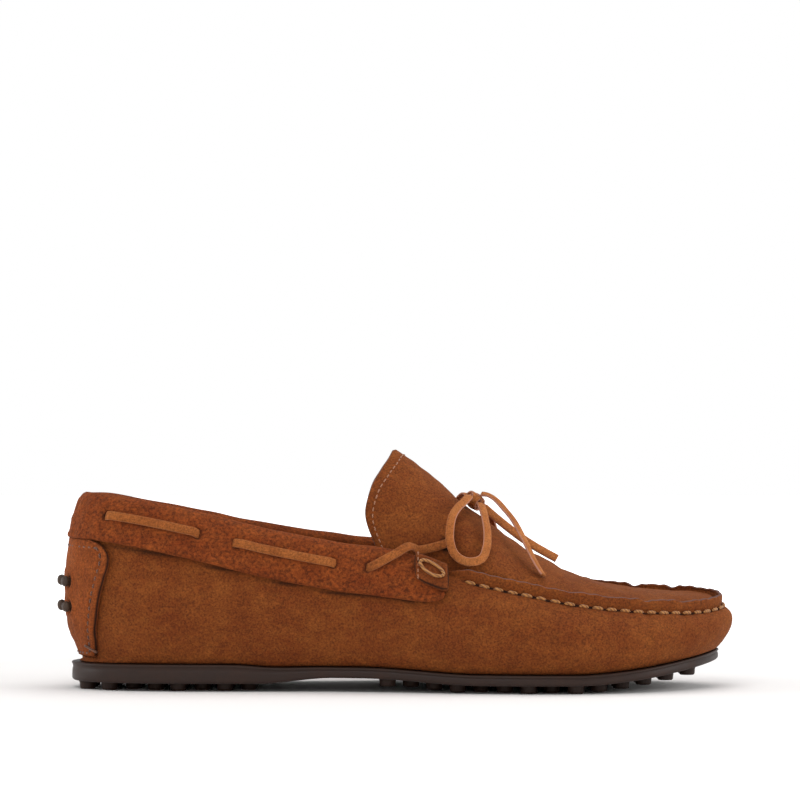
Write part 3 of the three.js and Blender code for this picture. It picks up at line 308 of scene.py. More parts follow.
    def instep(self, x: Array, angle: Array) -> Array:
        """A point of the instep: angle -90 is its outer edge, 0 its ridge and 90 its inner edge."""
        x, angle = np.broadcast_arrays(np.asarray(x, float), np.asarray(angle, float))
        bounded = np.minimum(x, self.flap_tip)
        outer, inner = self.edge_outer, self.edge_inner
        low = [np.interp(bounded, outer[:, 0], outer[:, axis]) for axis in (1, 2)]
        high = [np.interp(bounded, inner[:, 0], inner[:, axis]) for axis in (1, 2)]
        edge_y = np.where(angle < 0, low[0], high[0])
        edge_z = np.where(angle < 0, low[1], high[1])
        middle = (low[0] + high[0]) / 2
        turn = np.radians(angle)
        rise = np.maximum(0, np.cos(turn)) ** mix(1.1, 1.75, smooth(x, along(57), along(74)))
        ridge = np.interp(x, self.ridge_points[:, 0], self.ridge_points[:, 2])
        y = middle + np.abs(edge_y - middle) * np.sin(turn)
        return np.stack([x, y, edge_z + (ridge - edge_z) * rise], -1)

    def instep_off(self, x: Array, angle: Array, offset: Array | float) -> Array:
        """A point off the instep by a distance along its outward normal."""
        bounded = np.clip(angle, -89, 89)
        lengthwise = self.instep(np.asarray(x) + 0.5, bounded) - self.instep(np.asarray(x) - 0.5, bounded)
        sideways = self.instep(x, bounded + 1) - self.instep(x, bounded - 1)
        normal = unit(np.cross(lengthwise, sideways))
        return self.instep(x, angle) + normal * np.asarray(offset, float)[..., None]

    def tongue_edge(self, angle: Array) -> Array:
        """The distance along of the tongue's free edge at an angle."""
        return np.interp(np.abs(angle) / 90, self.tongue_points[:, 0], self.tongue_points[:, 1])


LAST = Last()


# ---- Meshes ------------------------------------------------------------------------------------


def new_object(name: str, points: Array, faces: Sequence[Sequence[int]], material: bpy.types.Material,
               values: dict[str, Array] | None = None) -> bpy.types.Object:
    """A smooth mesh object from points on the last.

    Args:
        name: The object's name.
        points: Vertices in millimetres on the last.
        faces: Vertex numbers of each face.
        material: The finish.
        values: Point attributes by name.

    Returns:
        The object, with its faces turned outwards.
    """
    points = np.asarray(points, float).reshape(-1, 3)
    placed = LAST.place(points)
    mesh = bpy.data.meshes.new(name)
    mesh.from_pydata(placed.tolist(), [], [tuple(face) for face in faces])
    mesh.materials.append(material)
    mesh.polygons.foreach_set("use_smooth", [True] * len(mesh.polygons))
    for key, numbers in (values or {}).items():
        layer = mesh.attributes.new(key, "FLOAT", "POINT")
        layer.data.foreach_set("value", np.asarray(numbers, np.float32).ravel())
    mesh.calc_loop_triangles()
    corners = np.array([triangle.vertices for triangle in mesh.loop_triangles])
    if len(corners):
        a, b, c = placed[corners[:, 0]], placed[corners[:, 1]], placed[corners[:, 2]]
        middle = placed.mean(0)
        if np.einsum("ij,ij->i", a - middle, np.cross(b - middle, c - middle)).sum() < 0:
            mesh.flip_normals()
    mesh.update()
    item = bpy.data.objects.new(name, mesh)
    bpy.context.scene.collection.objects.link(item)
    return item


def loft_faces(count: int, around: int, wrapped: bool, capped: bool) -> list[tuple[int, ...]]:
    """Faces of a loft through closed sections.

    Args:
        count: The number of sections.
        around: The points in each section.
        wrapped: Whether the last section joins the first.
        capped: Whether the two ends are closed.

    Returns:
        The faces, as vertex numbers.
    """
    faces: list[tuple[int, ...]] = []
    for i in range(count if wrapped else count - 1):
        here, there = i * around, ((i + 1) % count) * around
        for j in range(around):
            k = (j + 1) % around
            faces.append((here + j, there + j, there + k, here + k))
    if capped and not wrapped:
        for base, flip in ((0, False), ((count - 1) * around, True)):
            for j in range((around - 1) // 2):
                quad = [base + j, base + j + 1, base + around - 2 - j, base + around - 1 - j]
                quad = list(dict.fromkeys(quad))
                faces.append(tuple(reversed(quad)) if flip else tuple(quad))
    return faces


def loft(name: str, sections: Array, material: bpy.types.Material, wrapped: bool = False,
         values: dict[str, Array] | None = None) -> bpy.types.Object:
    """A closed body lofted through closed sections of equal point counts."""
    count, around = sections.shape[:2]
    return new_object(name, sections, loft_faces(count, around, wrapped, not wrapped), material, values)


def sheet_sections(outer: Array, inner: Array) -> tuple[Array, Array]:
    """Closed sections of a leather sheet with rounded edges.

    Args:
        outer: Points of its outer face, as [section, row].
        inner: Points of its inner face, as [section, row].

    Returns:
        The sections, and a value at each point that is 1 on the cut edges.
    """
    middle = (outer + inner) / 2
    half = np.linalg.norm(outer - inner, axis=-1, keepdims=True) / 2
    rims = []
    for end, before in ((-1, -2), (0, 1)):
        rims.append(middle[:, end] + unit(middle[:, end] - middle[:, before]) * half[:, end] * 0.8)
    sections = np.concatenate([outer, rims[0][:, None], inner[:, ::-1], rims[1][:, None]], 1)
    edge = np.zeros(sections.shape[:2])
    rows = outer.shape[1]
    for place in (rows, 2 * rows + 1):
        edge[:, place] = 1.0
    return sections, edge


def ribbon_sections(points: Array, facing: Array, width: float, thickness: float,
                    taper: float = 1.0) -> tuple[Array, Array]:
    """Sections of a flat strap along a line of points.

    Args:
        points: The middle line.
        facing: The direction that the strap's face looks in, for each point.
        width: The strap's width in millimetres.
        thickness: The strap's thickness in millimetres.
        taper: The share of the width that its first and last sections keep.

    Returns:
        The sections, and a value at each point that is 1 on the cut edges.
    """
    run = unit(np.gradient(points, axis=0))
    side = unit(np.cross(run, facing))
    face = unit(np.cross(side, run))
    profile = [(-1, -0.72), (-0.5, -1), (0, -1.04), (0.5, -1), (1, -0.72), (1.05, 0), (1, 0.72),
               (0.5, 1), (0, 1.04), (-0.5, 1), (-1, 0.72), (-1.05, 0)]
    scale = np.ones(len(points))
    scale[0] = scale[-1] = taper
    across = np.array([place[0] for place in profile]) * width / 2
    up = np.array([place[1] for place in profile]) * thickness / 2
    sections = (points[:, None] + side[:, None] * (across[None, :, None] * scale[:, None, None])
                + face[:, None] * up[None, :, None])
    edge = np.zeros(sections.shape[:2])
    edge[:, [0, 4, 5, 6, 10, 11]] = np.array([0.6, 0.6, 1.0, 0.6, 0.6, 1.0])
    return sections, edge


def tube_sections(points: Array, radius: Array | float, sides: int = 8) -> Array:
    """Round sections along a line of points."""
    run = unit(np.gradient(points, axis=0))
    side = unit(np.cross(run, np.tile([0.31, 0.17, 0.94], (len(points), 1))))
    up = np.cross(run, side)
    turn = np.linspace(0, 2 * math.pi, sides, endpoint=False)
    radius = np.broadcast_to(radius, len(points))[:, None, None]
    return points[:, None] + radius * (side[:, None] * np.cos(turn)[None, :, None]
                                       + up[:, None] * np.sin(turn)[None, :, None])


# ---- Finishes ----------------------------------------------------------------------------------


def linear(colour: str, alpha: float = 1.0) -> tuple[float, float, float, float]:
    """The linear colour of an sRGB hex value."""
    parts = [int(colour[i:i + 2], 16) / 255 for i in (1, 3, 5)]
    red, green, blue = ((c / 12.92 if c <= 0.04045 else ((c + 0.055) / 1.055) ** 2.4) for c in parts)
    return (red, green, blue, alpha)


def per_mm(size: float) -> float:
    """The texture scale, in metres, whose features are a size in millimetres across."""
    return 1000.0 / size


def add_node(tree: bpy.types.NodeTree, kind: str, inputs: dict | None = None, **settings) -> bpy.types.Node:
    """A node with its settings and links.

    Args:
        tree: The tree that it is added to.
        kind: The node's type name.
        inputs: Sockets by name or number, each with a value or the socket that feeds it.
        **settings: The node's own properties.

    Returns:
        The node.
    """
    node = tree.nodes.new(kind)
    for key, value in settings.items():
        setattr(node, key, value)
    for key, value in (inputs or {}).items():
        if isinstance(value, bpy.types.NodeSocket):
            tree.links.new(value, node.inputs[key])
        else:
            node.inputs[key].default_value = value
    return node


def blank_material(name: str) -> tuple[bpy.types.Material, bpy.types.NodeTree, bpy.types.Node]:
    """A new material with its tree and its emptied Principled shader."""
    material = bpy.data.materials.new(name)
    material.use_nodes = True
    tree = material.node_tree
    return material, tree, tree.nodes["Principled BSDF"]


def ramp(tree: bpy.types.NodeTree, value: bpy.types.NodeSocket, low: float, high: float,
         most: float = 1.0) -> bpy.types.NodeSocket:
    """The value stretched so that low gives 0 and high gives the most, which is 1 unless given."""
    node = add_node(tree, "ShaderNodeMapRange", {0: value, 1: low, 2: high, 3: 0.0, 4: most})
    return node.outputs[0]


def blend_colour(tree: bpy.types.NodeTree, share: object, first: object, second: object,
                 way: str = "MIX") -> bpy.types.NodeSocket:
    """A mix of two colours by a share."""
    node = add_node(tree, "ShaderNodeMix", {0: share, 6: first, 7: second}, data_type="RGBA", blend_type=way)
    return node.outputs[2]


@dataclass(frozen=True)
class Suede:
    """Brushed calf split: short fibres that scatter light, with paler and darker brushed clouds.

    The nap shows as a fine speckle, and grazing light catches the fibre tips.
    """

    name: str
    base: str
    pale: str
    dark: str
    cut: str = "#a8836b"
    nap: float = 0.75
    cloud: float = 17.0
    relief: float = 0.5
    speckle: float = 0.5
    sheen: float = 0.3

    def build(self) -> bpy.types.Material:
        """The material."""
        material, tree, shader = blank_material(self.name)
        spot = add_node(tree, "ShaderNodeTexCoord").outputs["Object"]
        clouds = add_node(tree, "ShaderNodeTexNoise", {
            "Vector": spot, "Scale": per_mm(self.cloud), "Detail": 4.0, "Roughness": 0.62,
            "Distortion": 0.4}).outputs[0]
        brushed = add_node(tree, "ShaderNodeMapping", {
            "Vector": spot, "Scale": (0.45, 1.0, 1.0), "Rotation": (0.0, 0.35, 0.0)}).outputs[0]
        strokes = add_node(tree, "ShaderNodeTexNoise", {
            "Vector": brushed, "Scale": per_mm(4.2), "Detail": 3.0, "Roughness": 0.6}).outputs[0]
        fibres = add_node(tree, "ShaderNodeTexNoise", {
            "Vector": spot, "Scale": per_mm(self.nap), "Detail": 3.0, "Roughness": 0.75}).outputs[0]
        tone = blend_colour(tree, ramp(tree, clouds, 0.34, 0.68), linear(self.dark), linear(self.base))
        tone = blend_colour(tree, ramp(tree, strokes, 0.46, 0.8, 0.32), tone, linear(self.pale))
        grain = blend_colour(tree, ramp(tree, fibres, 0.36, 0.66), linear("#5c5650"), linear("#fff0e0"))
        tone = blend_colour(tree, self.speckle, tone, grain, "OVERLAY")
        edge = add_node(tree, "ShaderNodeAttribute", attribute_name="edge").outputs["Fac"]
        tone = blend_colour(tree, ramp(tree, edge, 0.45, 1.0), tone, linear(self.cut))
        # Painted shade: a point attribute darkens the colour towards near black in the slits, the lace holes,
        # the seam's groove and stitch holes, and the crevices along the edges of pieces.
        shade = add_node(tree, "ShaderNodeAttribute", attribute_name="shade").outputs["Fac"]
        tone = blend_colour(tree, ramp(tree, shade, 0.15, 0.85), tone, linear("#1a0c06"))
        tree.links.new(tone, shader.inputs["Base Color"])
        coarse = add_node(tree, "ShaderNodeBump", {
            "Height": strokes, "Strength": self.relief * 0.35, "Distance": 0.0006}).outputs[0]
        fine = add_node(tree, "ShaderNodeBump", {
            "Height": fibres, "Strength": self.relief, "Distance": 0.0003, "Normal": coarse}).outputs[0]
        tree.links.new(fine, shader.inputs["Normal"])
        shader.inputs["Roughness"].default_value = 0.95
        shader.inputs["Specular IOR Level"].default_value = 0.2
        shader.inputs["Sheen Weight"].default_value = self.sheen
        shader.inputs["Sheen Roughness"].default_value = 0.45
        shader.inputs["Sheen Tint"].default_value = linear(self.pale)
        return material


@dataclass(frozen=True)
class Rubber:
    """Moulded dark brown rubber: nearly even in colour, with a soft satin sheen and fine pitting."""

    name: str = "moulded_rubber"
    base: str = "#27150c"
    pale: str = "#311c11"

    def build(self) -> bpy.types.Material:
        """The material."""
        material, tree, shader = blank_material(self.name)
        spot = add_node(tree, "ShaderNodeTexCoord").outputs["Object"]
        dust = add_node(tree, "ShaderNodeTexNoise", {
            "Vector": spot, "Scale": per_mm(9.0), "Detail": 5.0, "Roughness": 0.6}).outputs[0]
        pits = add_node(tree, "ShaderNodeTexNoise", {
            "Vector": spot, "Scale": per_mm(0.6), "Detail": 2.0}).outputs[0]
        tone = blend_colour(tree, ramp(tree, dust, 0.42, 0.72), linear(self.base), linear(self.pale))
        tree.links.new(tone, shader.inputs["Base Color"])
        rough = add_node(tree, "ShaderNodeMapRange", {0: dust, 1: 0.3, 2: 0.7, 3: 0.42, 4: 0.6})
        tree.links.new(rough.outputs[0], shader.inputs["Roughness"])
        relief = add_node(tree, "ShaderNodeBump", {"Height": pits, "Strength": 0.2, "Distance": 0.0002})
        tree.links.new(relief.outputs[0], shader.inputs["Normal"])
        shader.inputs["Specular IOR Level"].default_value = 0.32
        return material


@dataclass(frozen=True)
class Thread:
    """Waxed polyester thread: twisted plies that catch small highlights."""

    name: str
    base: str
    dark: str
    ply: float = 0.5

    def build(self) -> bpy.types.Material:
        """The material."""
        material, tree, shader = blank_material(self.name)
        spot = add_node(tree, "ShaderNodeTexCoord").outputs["Object"]
        twist = add_node(tree, "ShaderNodeTexWave", {
            "Vector": spot, "Scale": per_mm(self.ply) / 6.0, "Distortion": 3.0, "Detail": 2.0},
            bands_direction="DIAGONAL").outputs["Fac"]
        tone = blend_colour(tree, ramp(tree, twist, 0.1, 0.8), linear(self.dark), linear(self.base))
        tree.links.new(tone, shader.inputs["Base Color"])
        relief = add_node(tree, "ShaderNodeBump", {"Height": twist, "Strength": 0.4, "Distance": 0.0002})
        tree.links.new(relief.outputs[0], shader.inputs["Normal"])
        shader.inputs["Roughness"].default_value = 0.6
        shader.inputs["Sheen Weight"].default_value = 0.15
        return material


@dataclass(frozen=True)
class LiningLeather:
    """Drum-dyed lining leather: a smooth, lightly creased grain with a low gloss."""

    name: str = "lining_leather"
    base: str = "#6a3a1e"
    dark: str = "#4f2913"

    def build(self) -> bpy.types.Material:
        """The material."""
        material, tree, shader = blank_material(self.name)
        spot = add_node(tree, "ShaderNodeTexCoord").outputs["Object"]
        clouds = add_node(tree, "ShaderNodeTexNoise", {
            "Vector": spot, "Scale": per_mm(22.0), "Detail": 4.0}).outputs[0]
        pores = add_node(tree, "ShaderNodeTexVoronoi", {
            "Vector": spot, "Scale": per_mm(1.3)}, feature="DISTANCE_TO_EDGE").outputs["Distance"]
        tone = blend_colour(tree, ramp(tree, clouds, 0.35, 0.7), linear(self.dark), linear(self.base))
        tree.links.new(tone, shader.inputs["Base Color"])
        relief = add_node(tree, "ShaderNodeBump", {
            "Height": ramp(tree, pores, 0.0, 0.12), "Strength": 0.25, "Distance": 0.0002})
        tree.links.new(relief.outputs[0], shader.inputs["Normal"])
        shader.inputs["Roughness"].default_value = 0.55
        return material


@dataclass(frozen=True)
class Pressed:
    """Pressed or foamed sheet, such as fibreboard and latex: matt, with visible fibres or cells."""

    name: str
    base: str
    dark: str
    cell: float

    def build(self) -> bpy.types.Material:
        """The material."""
        material, tree, shader = blank_material(self.name)
        spot = add_node(tree, "ShaderNodeTexCoord").outputs["Object"]
        cells = add_node(tree, "ShaderNodeTexVoronoi", {
            "Vector": spot, "Scale": per_mm(self.cell)}).outputs[0]
        flecks = add_node(tree, "ShaderNodeTexNoise", {
            "Vector": spot, "Scale": per_mm(self.cell * 3), "Detail": 4.0}).outputs[0]
        tone = blend_colour(tree, ramp(tree, flecks, 0.35, 0.65), linear(self.dark), linear(self.base))
        tree.links.new(tone, shader.inputs["Base Color"])
        relief = add_node(tree, "ShaderNodeBump", {"Height": cells, "Strength": 0.4, "Distance": 0.0003})
        tree.links.new(relief.outputs[0], shader.inputs["Normal"])
        shader.inputs["Roughness"].default_value = 0.9
        return material


class Finish(Enum):
    """Every finish on the shoe."""

    SHELL = Suede("shell_suede", "#733e18", "#925826", "#663212", cut="#5e4e4e", nap=0.85, relief=0.6,
                  speckle=0.52)
    COLLAR = Suede("collar_long_nap_suede", "#733814", "#935325", "#642d0f", nap=1.3, relief=1.0,
                   speckle=0.62, sheen=0.35)
    THONG = Suede("thong_suede", "#a5683a", "#bd824f", "#8d5228", cut="#b58270", nap=0.8, relief=0.35,
                  speckle=0.4)
    # A darker copy of the thong suede for the lace along the collar and up to the eyelets: painted shade, as
    # the bow and the lace are one leather.
    LACE = Suede("lace_suede_painted_shade", "#925629", "#a86d3c", "#7c4520", cut="#8f5a3c", nap=0.8, relief=0.35,
                 speckle=0.45)
    SEAM_THREAD = Thread("waxed_seam_thread", "#a9702f", "#734316")
    HEM_THREAD = Thread("fine_hem_thread", "#a8714c", "#7a4a2e", 0.25)
    DARK_THREAD = Thread("dark_patch_thread", "#6f3d1c", "#33190a", 0.3)
    PATCH = Suede("patch_suede", "#7d401b", "#9c5b2a", "#6b3413", nap=0.9, speckle=0.52)
    TAB = Suede("tab_suede", "#6f3816", "#8d5126", "#5d2d10", nap=0.9, speckle=0.52)
    RUBBER = Rubber()
    PEBBLE = Rubber("pebble_rubber", "#3a2a20", "#4d3b2d")
    LINING = LiningLeather()
    BOARD = Pressed("pressed_fibreboard", "#b3a488", "#8f7f62", 0.5)
    FOAM = Pressed("latex_foam", "#e2d8bf", "#c8bb9a", 1.0)

    def material(self) -> bpy.types.Material:
        """The finish's material, made once."""
        return bpy.data.materials.get(self.value.name) or self.value.build()


# ---- Repeats laid by Geometry Nodes ------------------------------------------------------------


def named_vector(tree: bpy.types.NodeTree, name: str) -> bpy.types.NodeSocket:
    """The socket that reads a vector attribute of the geometry."""
    node = add_node(tree, "GeometryNodeInputNamedAttribute", {0: name}, data_type="FLOAT_VECTOR")
    return node.outputs[0]


def laying_tree(name: str, follows_line: bool) -> bpy.types.NodeTree:
    """A tree that sets a small piece along a line or on points, turned to face outwards.

    Args:
        name: The tree's name.
        follows_line: Whether the pieces are spaced along a line; else one goes on each point.

    Returns:
        The tree, with inputs Piece, Pitch, Size, Spread and Finish.
    """
    tree = bpy.data.node_groups.new(name, "GeometryNodeTree")
    wanted = (("Geometry", "NodeSocketGeometry"), ("Piece", "NodeSocketObject"), ("Pitch", "NodeSocketFloat"),
              ("Size", "NodeSocketVector"), ("Spread", "NodeSocketFloat"), ("Finish", "NodeSocketMaterial"))
    for label, kind in wanted:
        tree.interface.new_socket(label, in_out="INPUT", socket_type=kind)
    tree.interface.new_socket("Geometry", in_out="OUTPUT", socket_type="NodeSocketGeometry")
    given = add_node(tree, "NodeGroupInput").outputs
    spots = given["Geometry"]
    along_line = named_vector(tree, "run")
    if follows_line:
        curve = add_node(tree, "GeometryNodeMeshToCurve", {0: spots}).outputs[0]
        spots = add_node(tree, "GeometryNodeResampleCurve", {"Curve": curve, "Length": given["Pitch"]},
                         mode="LENGTH").outputs[0]
        along_line = add_node(tree, "GeometryNodeInputTangent").outputs[0]
    facing = named_vector(tree, "facing")
    turned = add_node(tree, "FunctionNodeAlignRotationToVector", {"Vector": along_line}, axis="X").outputs[0]
    turned = add_node(tree, "FunctionNodeAlignRotationToVector", {"Rotation": turned, "Vector": facing},
                      axis="Z", pivot_axis="X").outputs[0]
    low = add_node(tree, "ShaderNodeMath", {0: 1.0, 1: given["Spread"]}, operation="SUBTRACT").outputs[0]
    high = add_node(tree, "ShaderNodeMath", {0: 1.0, 1: given["Spread"]}, operation="ADD").outputs[0]
    draw = add_node(tree, "FunctionNodeRandomValue", {2: low, 3: high, "Seed": LAYING_SEED},
                    data_type="FLOAT").outputs[1]
    size = add_node(tree, "ShaderNodeVectorMath", {0: given["Size"], "Scale": draw},
                    operation="SCALE").outputs[0]
    piece = add_node(tree, "GeometryNodeObjectInfo", {"Object": given["Piece"]}).outputs["Geometry"]
    laid = add_node(tree, "GeometryNodeInstanceOnPoints", {
        "Points": spots, "Instance": piece, "Rotation": turned, "Scale": size}).outputs[0]
    solid = add_node(tree, "GeometryNodeRealizeInstances", {0: laid}).outputs[0]
    dressed = add_node(tree, "GeometryNodeSetMaterial", {0: solid, "Material": given["Finish"]}).outputs[0]
    add_node(tree, "NodeGroupOutput", {0: dressed})
    return tree


def turned_piece(name: str, profile: Sequence[tuple[float, float]], sides: int) -> bpy.types.Object:
    """A small turned piece about the Z axis, in units of its own size.

    Args:
        name: The object's name.
        profile: Radius and height pairs from its foot to its top; the first and last have radius 0.
        sides: The number of sides.

    Returns:
        The object, which is removed once it has been repeated.
    """
    turn = np.linspace(0, 2 * math.pi, sides, endpoint=False)
    rings = [np.stack([r * np.cos(turn), r * np.sin(turn), np.full(sides, z)], 1) for r, z in profile[1:-1]]
    points = np.vstack([*rings, [[0, 0, profile[0][1]]], [[0, 0, profile[-1][1]]]])
    faces = loft_faces(len(rings), sides, False, False)
    foot, top = len(points) - 2, len(points) - 1
    last = (len(rings) - 1) * sides
    for j in range(sides):
        k = (j + 1) % sides
        faces.append((foot, j, k))
        faces.append((top, last + k, last + j))
    return unit_object(name, points, [tuple(reversed(face)) for face in faces])


def stitch_piece(plies: int = 3, rings: int = 9, sides: int = 10) -> bpy.types.Object:
    """One stitch of twisted thread, a unit long on X, with rounded ends that dip down."""
    x = np.linspace(-0.5, 0.5, rings)
    turn = np.linspace(0, 2 * math.pi, sides, endpoint=False)
    girth = 0.5 * np.sqrt(np.clip(1 - (2 * x) ** 4, 0.03, 1))[:, None]
    girth = girth * (1 + 0.045 * np.cos(plies * turn[None] + 9 * x[:, None]))
    points = np.stack([np.repeat(x[:, None], sides, 1), girth * np.cos(turn),
                       girth * np.sin(turn) - 0.9 * (x[:, None] ** 2)], -1)
    return unit_object("stitch", points.reshape(-1, 3), loft_faces(rings, sides, False, True))


def unit_object(name: str, points: Array, faces: Sequence[Sequence[int]]) -> bpy.types.Object:
    """A mesh object in its own units, for repeating."""
    mesh = bpy.data.meshes.new(name)
    mesh.from_pydata(points.tolist(), [], [tuple(face) for face in faces])
    mesh.polygons.foreach_set("use_smooth", [True] * len(mesh.polygons))
    item = bpy.data.objects.new(name, mesh)
    bpy.context.scene.collection.objects.link(item)
    return item


@dataclass
class Repeats:
    """Lays stitches, studs and pebbles with the Geometry Nodes trees."""

    trees: dict = field(default_factory=dict)

    def lay(self, name: str, points: Array, facing: Array, piece: bpy.types.Object, size: Sequence[float],
            finish: Finish, pitch: float = 0.0, spread: float = 0.05) -> bpy.types.Object:
        """Set copies of a piece along a line or on points.

        Args:
            name: The finished object's name.
            points: The line or the spots, in millimetres on the last.
            facing: The outward direction at each point.
            piece: The unit piece to repeat.
            size: Its size in millimetres on X, Y and Z.
            finish: Its finish.
            pitch: The spacing along the line, or 0 for one on each point.
            spread: How much the copies differ in size, as a share.

        Returns:
            The finished mesh object.
        """
        follows = pitch > 0
        label = "pieces_along_line" if follows else "pieces_on_points"
        if label not in self.trees:
            self.trees[label] = laying_tree(label, follows)
        tree = self.trees[label]
        mesh = bpy.data.meshes.new(f"{name}_path")
        edges = [(i, i + 1) for i in range(len(points) - 1)] if follows else []
        mesh.from_pydata(LAST.place(points).tolist(), edges, [])
        run = unit(np.cross(facing, [0.05, 1.0, 0.3]))
        for key, numbers in (("facing", facing), ("run", run)):
            layer = mesh.attributes.new(key, "FLOAT_VECTOR", "POINT")
            layer.data.foreach_set("vector", np.asarray(numbers, np.float32).ravel())
        source = bpy.data.objects.new(f"{name}_path", mesh)
        bpy.context.scene.collection.objects.link(source)
        modifier = source.modifiers.new("lay", "NODES")
        modifier.node_group = tree
        values = {"Piece": piece, "Pitch": pitch / 1000, "Size": [part / 1000 for part in size],
                  "Spread": spread, "Finish": finish.material()}
        for socket in tree.interface.items_tree:
            if getattr(socket, "in_out", "") == "INPUT" and socket.name in values:
                modifier[socket.identifier] = values[socket.name]
        depsgraph = bpy.context.evaluated_depsgraph_get()
        result = bpy.data.meshes.new_from_object(source.evaluated_get(depsgraph), depsgraph=depsgraph)
        result.polygons.foreach_set("use_smooth", [True] * len(result.polygons))
        result.name = name
        item = bpy.data.objects.new(name, result)
        bpy.context.scene.collection.objects.link(item)
        bpy.data.objects.remove(source)
        return item


REPEATS = Repeats()


def settle(item: bpy.types.Object, body: str, slot: str, *nodes: str) -> bpy.types.Object:
    """Seat a finished piece on its body and hide the CAD nodes it stands for."""
    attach(item, body)
    if nodes:
        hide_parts(*nodes)
    LOG.info("%s: %d faces on %s", item.name, len(item.data.polygons), body)
    return item


# ---- The studio --------------------------------------------------------------------------------


@dataclass
class Studio:
    """A pale floor, soft light and the camera at the shoe's outer side."""

    distance: float = 1.4
    eye_height: float = 0.105
    aside: float = 0.0016
    lens: float = 146.0
    rise: float = 0.054

    def build(self) -> None:
        """Make the camera, the floor and the lights."""
        camera = bpy.data.cameras.new("camera")
        camera.lens, camera.sensor_width, camera.shift_y = self.lens, 36.0, self.rise
        eye = bpy.data.objects.new("camera", camera)
        bpy.context.scene.collection.objects.link(eye)
        eye.location = (self.aside, -self.distance, self.eye_height)
        eye.rotation_euler = (math.radians(90), 0, 0)
        bpy.context.scene.camera = eye
        self.floor()
        self.light("key", (-0.35, -1.2, 1.45), 1.0, 9.0)
        self.light("top", (0.25, 0.25, 1.6), 1.4, 13.0)
        self.light("toe", (1.3, -0.35, 0.6), 0.8, 7.0)
        self.light("heel", (-1.3, -0.1, 0.6), 0.8, 5.0)
        self.sky()
        bpy.context.scene.view_settings.view_transform = "Standard"

    def sky(self) -> None:
        """A white horizon that dims towards the top of the dome."""
        world = bpy.data.worlds.new("studio")
        world.use_nodes = True
        tree = world.node_tree
        heading = add_node(tree, "ShaderNodeTexCoord").outputs["Generated"]
        height = add_node(tree, "ShaderNodeSeparateXYZ", {0: heading}).outputs[2]
        white, dim = (1.0, 1.0, 1.0, 1.0), (0.33, 0.33, 0.34, 1.0)
        tone = blend_colour(tree, ramp(tree, height, 0.16, 0.5), white, dim)
        tree.links.new(tone, tree.nodes["Background"].inputs[0])
        bpy.context.scene.world = world

    def floor(self) -> None:
        """A wide pale floor that fades into the white horizon."""
        mesh = bpy.data.meshes.new("floor")
        mesh.from_pydata([(-4, -2.5, 0), (4, -2.5, 0), (4, 5, 0), (-4, 5, 0)], [], [(0, 1, 2, 3)])
        material, tree, shader = blank_material("studio_paper")
        spot = add_node(tree, "ShaderNodeTexCoord").outputs["Object"]
        away = add_node(tree, "ShaderNodeVectorMath", {0: spot}, operation="LENGTH").outputs[1]
        shader.inputs["Base Color"].default_value = linear("#f6f4f2")
        shader.inputs["Roughness"].default_value = 0.8
        shader.inputs["Specular IOR Level"].default_value = 0.1
        shader.inputs["Emission Color"].default_value = (1.0, 1.0, 1.0, 1.0)
        tree.links.new(ramp(tree, away, 0.24, 0.95), shader.inputs["Emission Strength"])
        mesh.materials.append(material)
        item = bpy.data.objects.new("floor", mesh)
        bpy.context.scene.collection.objects.link(item)

    def light(self, name: str, place: tuple[float, float, float], width: float, power: float) -> None:
        """A soft square light that looks at the shoe."""
        lamp = bpy.data.lights.new(name, "AREA")
        lamp.size, lamp.energy = width, power
        item = bpy.data.objects.new(name, lamp)
        bpy.context.scene.collection.objects.link(item)
        item.location = place
        aim = np.array(place) - np.array([0, 0, 0.05])
        flat = math.hypot(aim[0], aim[1])
        item.rotation_euler = (math.atan2(flat, aim[2]), 0, math.atan2(aim[0], -aim[1]))


# ---- The lace and its bow ----------------------------------------------------------------------


